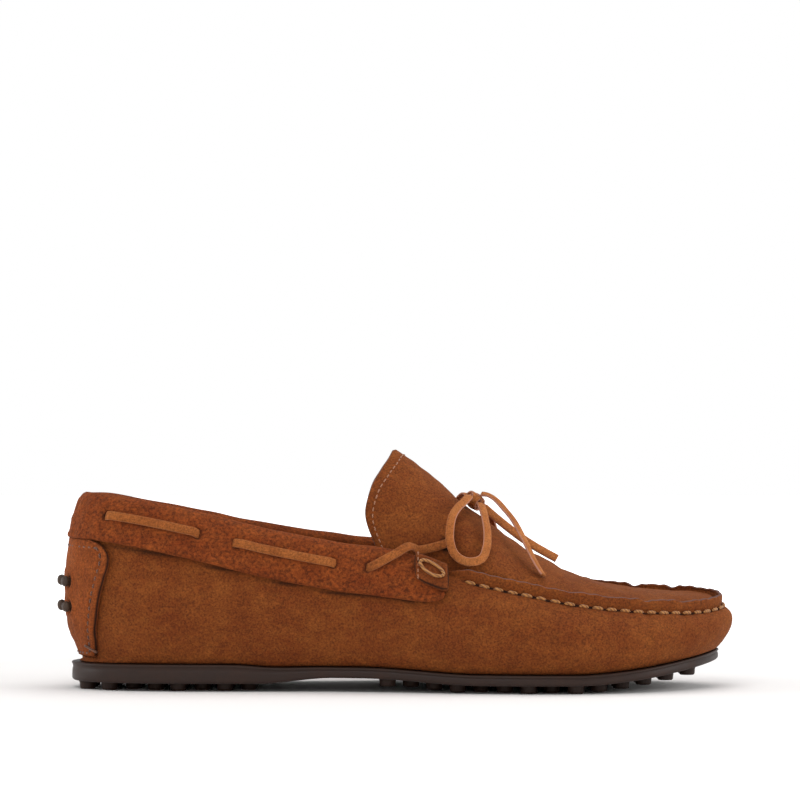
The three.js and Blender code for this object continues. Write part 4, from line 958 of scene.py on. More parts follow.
@dataclass
class Bow:
    """The knot, the two loops and the two tails of the flat suede lace."""

    width: float = 3.5
    thickness: float = 1.3
    knot_x: float = 173.0
    knot_lift: float = 3.6
    knot_width: float = 3.3
    knot_turns: tuple = ((0.35, -1.6, 3.6, 2.5), (-0.45, 1.3, 3.9, 2.6), (1.35, 0.2, 3.0, 2.9))
    loop_lateral: tuple = (
        (170, 8.6, 4), (169.6, 18, 5), (168.5, 29, 5.4), (166.8, 38.3, 5.2), (165.8, 44.4, 4.8),
        (165.5, 52.3, 4.2), (165.8, 60.4, 3.6), (167.7, 68.9, 3.1), (170.9, 75, 2.8),
        (173.8, 76, 2.8), (177.1, 70.3, 2.9), (178.6, 59.7, 3.2), (178.5, 46.3, 3.8),
        (177, 33.6, 4.6), (175.6, 20.4, 4.8), (175.2, 9.4, 4.4))
    loop_medial: tuple = (
        (175.2, 9.1, 4.3), (177, 18, 5.2), (180, 31, 5), (182.5, 41, 3.8), (184, 51, 3),
        (183.5, 60, 2.6), (180.5, 67, 2.5), (176.5, 70, 2.5), (172, 69, 2.6), (168.5, 62, 3),
        (166.5, 52, 3.4), (166.3, 41, 3.8), (167.2, 31, 4.4), (168.6, 18, 4.8), (170.2, 8.5, 4))
    tail_lateral: tuple = (
        (173.6, 2.5, 7.8), (175.6, 3.5, 9), (178.6, 7, 9.5), (182.4, 13.5, 9), (186.7, 20.9, 8.4),
        (190.8, 28.5, 7), (194.5, 37.1, 5.6), (198.1, 46.7, 4.2), (201, 54, 3), (202.6, 58.5, 2.5))
    tail_medial: tuple = (
        (177.5, 4.4, 3.7), (182, 6, 3.2), (188, 7, 3), (194, 7.5, 2.9), (200, 8, 2.8),
        (205.5, 8, 2.7), (209.8, 8, 2.6))

    def line(self, route: tuple, side: int, count: int) -> Array:
        """The smooth middle line of a route, in millimetres on the last."""
        rows = np.array(route, float)
        points = LAST.instep_off(rows[:, 0], side * rows[:, 1], rows[:, 2])
        return Spline(points).even(count)

    def strap(self, name: str, node: str, route: tuple, side: int, facing: Callable[[Array], Array],
              count: int = 56) -> None:
        """One loop or tail, as a strap along its route."""
        points = self.line(route, side, count)
        wanted = unit(facing(points))
        sections, edge = ribbon_sections(points, wanted, self.width, self.thickness)
        item = loft(name, sections, Finish.THONG.material(), values={"edge": edge})
        settle(item, SHOE, "lace_suede", node)

    def loop_facing(self, points: Array) -> Array:
        """A loop's strap faces outwards from the instep and a little away from the loop's middle."""
        middle = points.mean(0)
        away = unit(points - middle)
        side = np.sign(middle[1])
        return unit(np.array([0.15, 0.9 * side, 0.35]) + away * 0.55)

    def build(self) -> None:
        """Make the knot, then its loops and tails."""
        self.strap("bow_loop_lateral", "lace_loop_lateral", self.loop_lateral, OUTER,
                   self.loop_facing)
        self.strap("bow_loop_medial", "lace_loop_medial", self.loop_medial, INNER,
                   self.loop_facing)
        self.strap("bow_tail_lateral", "lace_tail_lateral", self.tail_lateral, OUTER,
                   self.tail_facing)
        self.strap("bow_tail_medial", "lace_tail_medial", self.tail_medial, INNER,
                   self.flat_facing)
        self.knot()

    def flat_facing(self, points: Array) -> Array:
        """The inner tail lies flat, with its face towards the outer side."""
        return np.tile([0.1, -0.9, 0.5], (len(points), 1))

    def tail_facing(self, points: Array) -> Array:
        """The outer tail twists from face up at the knot to edge on at its end."""
        share = np.linspace(0, 1, len(points))[:, None]
        return unit(mix(np.array([0.5, -0.45, 0.8]), np.array([0.75, -0.25, 0.65]), share))

    def knot(self) -> None:
        """Three turns of strap pulled tight over each other."""
        middle = LAST.instep_off(np.array([self.knot_x]), np.array([0.0]), self.knot_lift)[0]
        slope = unit(LAST.instep(self.knot_x + 2, 0.0) - LAST.instep(self.knot_x - 2, 0.0))
        rise = unit(np.cross(slope, [0, 1, 0]))
        rise = rise * np.sign(rise[2])
        turn = np.linspace(0, 2 * math.pi, 40, endpoint=False)
        rings, edges = [], []
        for lean, shift, wide, tall in self.knot_turns:
            along_knot = slope * math.cos(lean) + np.array([0, 1, 0]) * math.sin(lean)
            across = np.cross(rise, along_knot)
            out = (across * np.cos(turn)[:, None] * wide + rise * np.sin(turn)[:, None] * tall)
            points = middle + slope * shift + out
            looped = np.vstack([points[-1:], points, points[:1]])
            sections, edge = ribbon_sections(looped, np.vstack([out[-1:], out, out[:1]]),
                                             self.knot_width, self.thickness)
            rings.append(sections[1:-1])
            edges.append(edge[1:-1])
        around = rings[0].shape[1]
        faces: list[tuple[int, ...]] = []
        for number, ring in enumerate(rings):
            base = number * len(ring) * around
            faces += [tuple(base + v for v in face) for face in loft_faces(len(ring), around, True, False)]
        item = new_object("bow_knot", np.concatenate(rings), faces, Finish.THONG.material(),
                          {"edge": np.concatenate(edges)})
        settle(item, SHOE, "lace_suede", "lace_knot")


@dataclass
class Lace:
    """The flat lace through the collar, from one eyelet round the heel to the other."""

    width: float = 3.7
    thickness: float = 1.3
    level: float = 8.7
    shows: tuple = ((21.3, 59.3), (75.5, 116.5))
    leaves: float = 130.8
    hidden: float = 1.2
    proud: float = 4.0

    def offset(self, x: Array) -> Array:
        """How far off the wall the lace lies at a distance along."""
        shown = [smooth(x, start - 1.2, start + 1.6) * (1 - smooth(x, end - 1.6, end + 1.2))
                 for start, end in self.shows]
        shown.append(smooth(x, self.leaves - 1.2, self.leaves + 1.6))
        return mix(self.hidden, self.proud, np.max(shown, axis=0))

    def climb(self, side: int) -> tuple[Array, Array]:
        """The run from the collar over the topline, through its hole and up to the eyelet."""
        drops = ((134, 7.4, 4.2), (137.4, 5.0, 4.5), (141, 2.2, 4.5), (146.5, -3.2, 3.9))
        points = [LAST.drop(LAST.station_at(x, side), fall, off) for x, fall, off in drops]
        tips = [LAST.drop(LAST.station_at(x, side), fall, off + 1) for x, fall, off in drops]
        places = ((151, 73, 2.8), (155.5, 69, 1.9), (159.5, 64.5, 1.3), (162.3, 61, 0.1), (164.6, 57, -2.6),
                  (168, 42, -3.3), (170.5, 19, -3.0))
        for x, angle, off in places:
            points.append(LAST.instep_off(x, side * angle, np.array(off)))
            tips.append(LAST.instep_off(x, side * angle, np.array(off + 1.0)))
        return np.array(points), np.array(tips) - np.array(points)

    def build(self) -> None:
        """Make the whole lace."""
        start = LAST.station_at(self.leaves + 1.2, INNER) - 1
        stations = np.linspace(start, LAST.station_at(self.leaves + 1.2, OUTER), 420)
        x = LAST.top.at(stations)[:, 0]
        channel = LAST.drop(stations, self.level, self.offset(x))
        channel_facing = LAST.drop(stations, self.level, self.offset(x) + 1) - channel
        inner, outer = self.climb(INNER), self.climb(OUTER)
        line = np.vstack([inner[0][::-1], channel[::3], outer[0]])
        looks = np.vstack([inner[1][::-1], channel_facing[::3], outer[1]])
        share = np.linspace(0, 1, 900)
        points, facing = Spline(line).at(share), unit(Spline(looks).at(share))
        sections, edge = ribbon_sections(points, facing, self.width, self.thickness)
        # The lace takes the darker copy of the thong suede, whose colour is painted shade.
        item = loft("collar_lace", sections, Finish.LACE.material(), values={"edge": edge})
        settle(item, SHOE, "lace_suede", "lace")


# ---- The sole ----------------------------------------------------------------------------------


@dataclass
class Sole:
    """The moulded rubber plate with its rolled rim, and the round studs under heel and forefoot."""

    stud_size: tuple = (3.45, 3.45, 3.4)
    stud_pitch: float = 11.4
    first_row: float = 9.4
    heel_end: float = 91.0
    fore_start: float = 131.0
    stud_edge: float = 5.2
    under: tuple = ((6.0, 0.0), (1.6, 0.0), (0.6, 0.15), (0.12, 0.6), (0.0, 1.3))
    groove: tuple = ((0.02, 0.42), (0.1, 0.56), (0.25, 0.66), (0.42, 0.71))
    bead: tuple = ((0.1, 1.0), (-0.15, 0.8), (-0.15, 0.4), (0.05, 0.1), (0.6, 0.0), (1.8, 0.0), (6.0, 0.0))

    def plate(self) -> None:
        """The plate, from the flat underside round its edge to the flat top."""
        stations = (np.arange(360) + 0.5) / 360
        x = LAST.rim(stations)[:, 0]
        thick = LAST.sole_top(x) - LAST.sole_bottom(x)
        rows = [self.level(stations, inset, rise) for inset, rise in self.under]
        rows += [self.level(stations, inset, thick * share) for inset, share in self.groove]
        rows += [self.level(stations, inset, thick - fall) for inset, fall in self.bead]
        item = loft("sole_plate", np.array(rows), Finish.RUBBER.material())
        settle(item, SHOE, "rubber", "outsole")

    def level(self, stations: Array, inset: float, rise: Array | float) -> Array:
        """A line round the plate, a distance inside its rim and above its underside."""
        line = LAST.rim(stations, inset)
        line[:, 2] = LAST.sole_bottom(line[:, 0]) + rise
        return line

    def stud_places(self) -> Array:
        """The middles of the studs' feet, in staggered rows."""
        places = []
        step = self.stud_pitch * math.sin(math.pi / 3)
        stations = np.linspace(0, 1, 2001)
        edge = LAST.rim(stations, 4.2 - LAST.rim_inset)
        half = len(stations) // 2
        last_row = SHOE_LENGTH - LAST.toe_overhang - self.first_row
        for row in range(int((last_row - self.first_row) / step) + 1):
            x = self.first_row + row * step
            if self.heel_end - 3.45 < x < self.fore_start + 3.45:
                continue
            low = np.interp(x, edge[:half, 0], edge[:half, 1])
            high = np.interp(x, edge[half:, 0][::-1], edge[half:, 1][::-1])
            for column in range(-9, 10):
                offset = (column + 0.5 * (row % 2)) * self.stud_pitch
                if abs(offset) <= (high - low) / 2 - self.stud_edge:
                    places.append((x, (low + high) / 2 + offset, float(LAST.sole_bottom(x))))
        return np.array(places)

    def build(self) -> None:
        """Make the plate and its studs."""
        self.plate()
        profile = ((0, 0.35), (1.12, 0.3), (1.1, 0.0), (1.02, -0.2), (0.98, -0.7), (0.94, -0.88),
                   (0.82, -0.98), (0.5, -1.0), (0.36, -0.97), (0.3, -0.93), (0, -0.92))
        stud = turned_piece("stud", profile, 28)
        spots = self.stud_places()
        up = np.tile([0.0, 0.0, 1.0], (len(spots), 1))
        item = REPEATS.lay("sole_studs", spots, up, stud, self.stud_size, Finish.RUBBER, spread=0.0)
        bpy.data.objects.remove(stud)
        settle(item, SHOE, "rubber", "outsole")


# ---- The leather shell -------------------------------------------------------------------------


def soft_noise(seed: int, reach: float, points: Array) -> Array:
    """Smooth random heights between about -1 and 1, whose bumps are a reach across."""
    draw = np.random.default_rng(seed)
    total = np.zeros(points.shape[:-1])
    for _ in range(14):
        heading = unit(draw.normal(size=3)) * 2 * math.pi / (reach * draw.uniform(0.7, 1.9))
        total += np.cos(points @ heading + draw.uniform(0, 2 * math.pi))
    return total / 4.2


def collar_low(x: Array) -> Array:
    """How far the collar's lower edge lies below the topline, round its rounded front corner."""
    turn = np.clip((x - COLLAR_FRONT + 24.0) / 24.0, 0, 1)
    return mix(9.9, 20.0, np.sqrt(np.clip(1 - turn**2, 0, 1)))


@dataclass
class Shell:
    """The one-piece suede shell, with the raised lip and the puckers of the hand-sewn seam."""

    columns: int = 760
    stitch_pitch: float = 6.1
    seam_drop: float = 0.9
    pucker_depth: float = 0.5
    soft_swell: float = 0.45
    fine_swell: float = 0.16
    heel_tuck: float = 2.6
    fold_depth: float = 0.9
    lip_wave: float = 0.2
    folds: tuple = ((213.9, 0.7), (247.2, 1.0), (263.2, 0.8), (231.0, 0.4))

    def seam_line(self, drop: float, offset: float) -> Array:
        """A line along the seam from one side round the toe to the other."""
        ends = LAST.station_at(LAST.lip_full - 5, OUTER), LAST.station_at(LAST.lip_full - 5, INNER)
        return LAST.drop(np.linspace(*ends, 700), drop, offset)

    def pinches(self, points: Array) -> Array:
        """How strongly each point lies at a stitch, from 0 to 1."""
        line = self.seam_line(self.seam_drop, 0.0)
        lengths = np.r_[0, np.cumsum(np.linalg.norm(np.diff(line, axis=0), axis=1))]
        count = int(lengths[-1] / self.stitch_pitch)
        stops = np.linspace(0, lengths[-1], count + 1)
        spots = np.stack([np.interp(stops, lengths, line[:, axis]) for axis in range(3)], 1)
        near = np.full(points.shape[:-1], 1e9)
        for spot in spots:
            near = np.minimum(near, np.linalg.norm((points - spot)[..., :2], axis=-1))
        return bump(near, 0.0, 1.5)

    def build(self) -> None:
        """Make the shell as one closed sheet."""
        stations = ((np.arange(self.columns) + 0.5) / self.columns)[:, None]
        levels = np.r_[0.012, 0.04, np.linspace(0.08, 0.86, 24), np.linspace(0.88, 1.0, 9)][None]
        outer = LAST.off_wall(stations, levels, 0.0 * stations * levels)
        outer = self.pucker(outer, stations, levels)
        foot = self.foot(stations)
        lip = self.lip(outer[:, -1], stations)
        outer = np.concatenate([foot, outer, lip], 1)
        run = unit(np.roll(outer, -1, 0) - np.roll(outer, 1, 0))
        rise = unit(np.gradient(outer, axis=1))
        inner = outer - unit(np.cross(run, rise)) * LAST.wall
        sections, edge = sheet_sections(outer, inner)
        edge[:, outer.shape[1] - 1] = 0.75
        # Painted shade: a dark line in the seam's groove under the lip, darkest at the stitch holes, and a
        # dark line just under the collar's lower edge.
        shade = np.zeros(sections.shape[:2])
        below = np.linalg.norm(outer - outer[:, -7:-6], axis=-1)
        sewn = smooth(outer[..., 0], LAST.lip_start + 6, LAST.lip_full)
        under_lip = outer[..., 2] <= outer[:, -7:-6, 2] + 0.3
        groove = bump(below, self.seam_drop, 0.85) * under_lip
        dark = sewn * groove * (0.42 + 0.75 * self.pinches(outer))
        under = below - collar_low(outer[..., 0])
        dark = dark + 0.7 * bump(under, 0.0, 0.8) * (outer[..., 0] < COLLAR_FRONT)
        shade[:, :outer.shape[1]] = np.clip(dark, 0, 1)
        item = loft("shell", sections, Finish.SHELL.material(), wrapped=True,
                    values={"edge": edge, "shade": shade})
        settle(item, SHOE, "suede", "side_wall")

    def foot(self, stations: Array) -> Array:
        """The turn of the leather under the shoe, above the sole plate."""
        edge = LAST.bottom_edge(stations[:, 0])
        rows = []
        for inset, rise in ((9.0, 0.0), (3.0, 0.0), (1.2, 0.02), (0.3, 0.15)):
            row = edge - LAST.out(stations[:, 0]) * inset
            row[:, 2] = LAST.sole_top(row[:, 0]) + LAST.part_gap + rise
            rows.append(row)
        return np.stack(rows, 1)

    def pucker(self, outer: Array, stations: Array, levels: Array) -> Array:
        """Push the wall in and out by its soft unevenness and by the pull of the stitches."""
        normal = LAST.wall_normal(stations, levels)
        below = (1 - levels) * LAST.wall_length(stations[:, 0])[:, None]
        x = outer[..., 0]
        sewn = smooth(x, LAST.lip_start + 6, LAST.lip_full + 8)
        away = smooth(levels, 0.05, 0.3) * smooth(below, 1, 12)
        height = self.soft_swell * soft_noise(3, 26.0, outer) * away
        height += self.fine_swell * soft_noise(4, 8.0, outer) * smooth(levels, 0.05, 0.2)
        pull = self.pinches(outer)
        near_seam = bump(below, self.seam_drop, 2.6)
        heel = (1 - smooth(x, 6, 34)) * (1 - smooth(levels, 0.0, 0.24))
        height -= self.heel_tuck * heel
        height -= self.pucker_depth * pull * near_seam * sewn
        ease = np.exp(-(below / 9.0)) * smooth(x, 185, 225) * sewn
        height += 0.26 * (pull - 0.4) * ease * smooth(below, 1.5, 4)
        for place, depth in self.folds:
            height -= self.fold_depth * depth * bump(x, place, 1.9) * np.exp(-below / 7.0) * sewn
        return outer + normal * height[..., None]

    def lip(self, top: Array, stations: Array) -> Array:
        """The rows of the raised lip above the seam, pinched in between its soft swells."""
        height = LAST.lip(top[:, 0])
        lean = unit(np.array([0.0, 0.0, 1.0]) + LAST.out(stations[:, 0]) * 0.12)
        out = LAST.out(stations[:, 0])
        pull = self.pinches(top)
        wave = self.lip_wave * soft_noise(5, 22.0, top) - 0.16 * pull
        for place, depth in self.folds:
            wave = wave - 0.35 * depth * bump(top[:, 0], place, 2.4)
        rows = []
        for share, swell in ((0.18, 0.12), (0.38, 0.3), (0.6, 0.32), (0.8, 0.22), (0.93, 0.08), (1.0, -0.1)):
            full = height * share + wave * share * smooth(height, 0.5, 3)
            rows.append(top + lean * full[:, None] + out * (swell * smooth(height, 0.5, 3))[:, None])
        return np.stack(rows, 1)


# ---- The collar --------------------------------------------------------------------------------


def counter_room(x: Array) -> Array:
    """How much further in the lining lies where the heel counter stands behind it."""
    return 1.5 * (1 - smooth(x, 66, 96))


@dataclass
class Collar:
    """The padded long-nap band folded over the topline, with a slit at each end of a lace run."""

    columns: int = 820
    skin: float = 1.3
    slits: tuple = (21.3, 59.3, 75.5, 116.5, 130.8)
    slit_drop: float = 8.7
    slit_depth: float = 1.5

    def build(self) -> None:
        """Make the collar as one closed sheet."""
        ends = LAST.station_at(COLLAR_FRONT, INNER) - 1, LAST.station_at(COLLAR_FRONT, OUTER)
        share = np.linspace(0, 1, self.columns)
        share = share + 0.012 * np.sin(2 * math.pi * share) / (2 * math.pi)
        stations = mix(ends[0], ends[1], share)
        x = LAST.top.at(stations)[:, 0]
        low = collar_low(x)
        shape = np.linspace(0, 1, 40)
        drops, covers = [], []
        for i in range(self.columns):
            knots = ((0, low[i], 1.9), (0.06, low[i] - 0.35, 2.95), (0.14, low[i] - 1.5, 3.4),
                     (0.22, low[i] - 3.0, 2.85), (0.4, mix(low[i], 0, 0.3), 2.95), (0.56, 10.6, 3.25),
                     (0.7, 6.2, 3.25), (0.84, 3, 3.05), (0.93, 0.9, 2.6), (1, -0.8, 1.55))
            table = np.array(knots)
            drops.append(np.interp(shape, table[:, 0], table[:, 1]))
            covers.append(np.interp(shape, table[:, 0], table[:, 2]))
        drop, cover = np.array(drops), np.array(covers)
        cover = self.soften(cover)
        base = stations[:, None] + 0 * drop
        spot = LAST.drop(base, drop, cover)
        height = self.relief(spot, drop, x[:, None])
        # Painted shade inside the lace slits.
        shade = self.shade(drop, x[:, None])
        outer = LAST.drop(base, drop, cover + height)
        outer = np.concatenate([outer, self.over(stations, x)], 1)
        run = unit(np.gradient(outer, axis=0))
        rise = unit(np.gradient(outer, axis=1))
        inner = outer - unit(np.cross(run, rise)) * self.skin
        sections, _ = sheet_sections(outer, inner)
        values = np.zeros(sections.shape[:2])
        values[:, :shade.shape[1]] = shade
        item = loft("collar_band", sections, Finish.COLLAR.material(), values={"shade": values})
        settle(item, SHOE, "dark_suede", "collar")

    def soften(self, cover: Array) -> Array:
        """Round the corners of the collar's section."""
        for _ in range(3):
            cover[:, 2:-1] = (cover[:, 1:-2] + 2 * cover[:, 2:-1] + cover[:, 3:]) / 4
        return cover

    def over(self, stations: Array, x: Array) -> Array:
        """The rows over the topline and down the inside."""
        lined = LAST.wall + 1.5 + counter_room(x) + LINING_SKIN + self.skin
        wobble = 0.25 * soft_noise(8, 14.0, LAST.top.at(stations))
        rows = []
        for drop, out, inward in ((-1.75, 0.55, 0), (-2.1, -0.6, 0), (-1.9, -1.9, 0), (-0.9, 0, 0.1),
                                  (0.8, 0, 0.35), (3.5, 0, 0.55), (7.0, 0, 0.5), (10.6, 0, 0.2)):
            offset = np.where(inward > 0, -lined + inward * 0.6 - 0.3, out)
            rows.append(LAST.drop(stations, drop - wobble * (drop < 1), offset))
        return np.stack(rows, 1)

    def relief(self, spot: Array, drop: Array, x: Array) -> Array:
        """Soft lumps of padding, long-nap tufts and the dips at the slits."""
        height = 0.28 * soft_noise(6, 16.0, spot) + 0.16 * soft_noise(7, 5.0, spot)
        height += 0.07 * soft_noise(9, 2.2, spot)
        for place in self.slits:
            height -= self.slit_depth * bump(x, place, 1.3) * bump(drop, self.slit_drop, 2.4, 4)
        return height * smooth(drop, -1, 1)

    def shade(self, drop: Array, x: Array) -> Array:
        """Painted shade: how dark each point lies, darkest inside the slits."""
        dark = np.zeros(drop.shape)
        for place in self.slits:
            dark = np.maximum(dark, bump(x, place, 1.5) * bump(drop, self.slit_drop, 2.3, 4))
        return dark


@dataclass
class Inside:
    """The leather lining and the sock liner, as seen down the opening."""

    low_level: float = 0.14
    sock_inset: float = 7.2
    sock_height: float = 7.5

    def build(self) -> None:
        """Make the lining and the sock liner."""
        stations = ((np.arange(420) + 0.5) / 420)[:, None]
        x = LAST.top.at(stations[:, 0])[:, 0]
        fall = mix(3.0, 6.5, smooth(x, 152, 162))
        top = 1 - fall / LAST.wall_length(stations[:, 0])
        levels = mix(self.low_level, top[:, None], np.linspace(0, 1, 22)[None])
        depth = -(LAST.wall + 0.5 + counter_room(x))[:, None]
        outer = LAST.off_wall(stations, levels, depth + 0 * levels)
        slack = 0.22 * soft_noise(11, 20.0, outer)
        inner = LAST.off_wall(stations, levels, depth - LINING_SKIN - slack - 0.1)
        sections, _ = sheet_sections(outer, inner)
        item = loft("quarter_lining", sections, Finish.LINING.material(), wrapped=True)
        settle(item, SHOE, "lining", "lining")
        self.sock()

    def sock(self) -> None:
        """The sock liner, with a rounded edge."""
        stations = (np.arange(300) + 0.5) / 300
        rows = []
        for inset, rise in ((30.0, 0.0), (14.0, 0.0), (2.0, 0.0), (0.4, 0.15), (0.0, 0.5), (0.5, 0.95),
                            (2.0, 1.0), (14.0, 0.8), (30.0, 0.6)):
            line = LAST.rim(stations, self.sock_inset)
            line = mix(line, line[::-1], min(0.42, inset / 70.0))
            line[:, 2] = LAST.sole_top(line[:, 0]) + self.sock_height + rise
            rows.append(line)
        item = loft("sock_liner_leather", np.array(rows), Finish.LINING.material())
        settle(item, SHOE, "lining", "sock_liner")


# ---- The instep --------------------------------------------------------------------------------


@dataclass
class Instep:
    """The apron and the tongue that it runs out into, one piece of suede over the instep."""

    skin: float = 1.6
    lining_skin: float = 0.8
    hinge: float = 160.0
    bow: float = 5.0
    lace_hole: tuple = (162.2, 62.0)
    eyelet: tuple = (170.5, 14.0)
    hem_inset: float = 2.5
    hem_stitch: tuple = (1.9, 0.62, 0.55)
    hem_pitch: float = 2.75
    creases: tuple = ((181, 0.10, 0.5, 50), (189, -0.06, 0.4, 60), (199, 0.05, 0.45, 66),
                      (213, -0.04, 0.3, 58))

    def fold_line(self, angle: Array) -> Array:
        """The distance along where the tongue folds off the apron."""
        return self.hinge - self.bow * (1 - np.cos(np.radians(angle)))

    def grid(self, offset: float, inset: float = 0.0, to_fold: bool = False) -> Array:
        """Points off the instep, from the tongue's free edge to the toe or the fold."""
        angles = np.r_[-90.0, np.linspace(-88.5, 88.5, 150), 90.0][:, None]
        start = LAST.tongue_edge(angles) + inset
        if to_fold:
            x = mix(start, self.fold_line(angles) - 2.6, np.linspace(0, 1, 26)[None])
        else:
            front = np.sin(np.linspace(0, 0.5 * math.pi, 132))[None]
            back = np.linspace(0, 1, 34)[None, :-1]
            x = np.concatenate([mix(start, self.fold_line(angles), back),
                                mix(self.fold_line(angles), LAST.flap_tip, front)], 1)
        angles = angles + 0 * x
        plain = LAST.instep_off(x, angles, offset + 0 * x)
        return LAST.instep_off(x, angles, offset + self.relief(plain, x, angles)) if inset == 0 else plain

    def relief(self, spot: Array, x: Array, angle: Array) -> Array:
        """The soft wrinkles across the instep and the pull of the lace at its holes."""
        steady = 1 - smooth(np.abs(angle), 76, 89)
        height = 0.38 * soft_noise(21, 24.0, spot) + 0.14 * soft_noise(22, 8.0, spot)
        for place, lean, depth, reach in self.creases:
            line = x - place - lean * angle * 0.6 + 1.5 * np.sin(angle / 17)
            height = height - depth * bump(line, 0.0, 2.6) * bump(angle, 0.0, reach, 4)
        height = height - 0.5 * self.holes(x, angle)
        return height * steady

    def holes(self, x: Array, angle: Array) -> Array:
        """How close each point lies to a hole for the lace, from 0 to 1."""
        near = np.zeros(x.shape)
        for (place, turn), size in ((self.lace_hole, 2.5), (self.eyelet, 1.9)):
            for side in (OUTER, INNER):
                away = np.hypot(x - place, (angle - side * turn) * 0.52)
                near = np.maximum(near, bump(away, 0.0, size, 4))
        return near

    def sheet(self) -> None:
        """The suede sheet, from the tongue's free edge past the fold line to the apron's tip."""
        outer, inner = self.grid(0.0), self.grid(-self.skin)
        sections, edge = sheet_sections(outer, inner)
        rows = outer.shape[1]
        # Painted shade at the lace holes, which are dark dents in the sheet rather than cut holes.
        shade = np.zeros(sections.shape[:2])
        angles = np.r_[-90.0, np.linspace(-88.5, 88.5, 150), 90.0][:, None] + 0 * outer[..., 0]
        shade[:, :rows] = 0.95 * self.holes(outer[..., 0], angles)
        item = loft("apron_and_tongue", sections, Finish.SHELL.material(),
                    values={"edge": edge, "shade": shade})
        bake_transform(item)
        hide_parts("apron", "tongue")

    def tongue_lining(self) -> None:
        """The leather lining under the tongue."""
        top = -(self.skin + 0.3)
        outer, inner = self.grid(top, 1.6, True)[3:-3], self.grid(top - self.lining_skin, 1.6, True)[3:-3]
        sections, _ = sheet_sections(outer, inner)
        item = loft("tongue_lining_leather", sections, Finish.LINING.material())
        settle(item, FLAP, "lining", "tongue_lining")

    def hem(self, stitch: bpy.types.Object) -> None:
        """The small stitches round the tongue's free edge."""
        angles = np.linspace(-80, 80, 400)
        inset = self.hem_inset * mix(1.3, 1.0, np.abs(angles) / 80)
        x = LAST.tongue_edge(angles) + inset
        relief = self.relief(LAST.instep_off(x, angles, 0 * x), x, angles)
        line = LAST.instep_off(x, angles, 0.14 + relief)
        facing = unit(LAST.instep_off(x, angles, 1.0 + 0 * x) - LAST.instep_off(x, angles, 0 * x))
        item = REPEATS.lay("tongue_hem_stitches", line, facing, stitch, self.hem_stitch,
                           Finish.HEM_THREAD, pitch=self.hem_pitch)
        settle(item, FLAP, "thread", "tongue_hem_thread")

    def build(self, stitch: bpy.types.Object) -> None:
        """Make the sheet, the tongue's lining and its hem stitches."""
        self.sheet()
        self.tongue_lining()
        self.hem(stitch)


@dataclass
class Seam:
    """The thick hand stitches along the apron seam."""

    length: float = 4.5
    girth: float = 1.4

    def build(self, stitch: bpy.types.Object, shell: Shell) -> None:
        """Lay the stitches in the dips of the shell's seam."""
        middle = shell.seam_line(shell.seam_drop, 0.35)
        facing = unit(shell.seam_line(shell.seam_drop, 1.0) - shell.seam_line(shell.seam_drop, 0.0))
        lengths = np.r_[0, np.cumsum(np.linalg.norm(np.diff(middle, axis=0), axis=1))]
        half = shell.stitch_pitch / 2
        inside = (lengths > half) & (lengths < lengths[-1] - half)
        item = REPEATS.lay("apron_seam_stitches", middle[inside], facing[inside], stitch,
                           (self.length, self.girth, self.girth), Finish.SEAM_THREAD,
                           pitch=shell.stitch_pitch, spread=0.07)
        settle(item, SHOE, "thread", "apron_seam_thread")


# ---- The heel patch ----------------------------------------------------------------------------


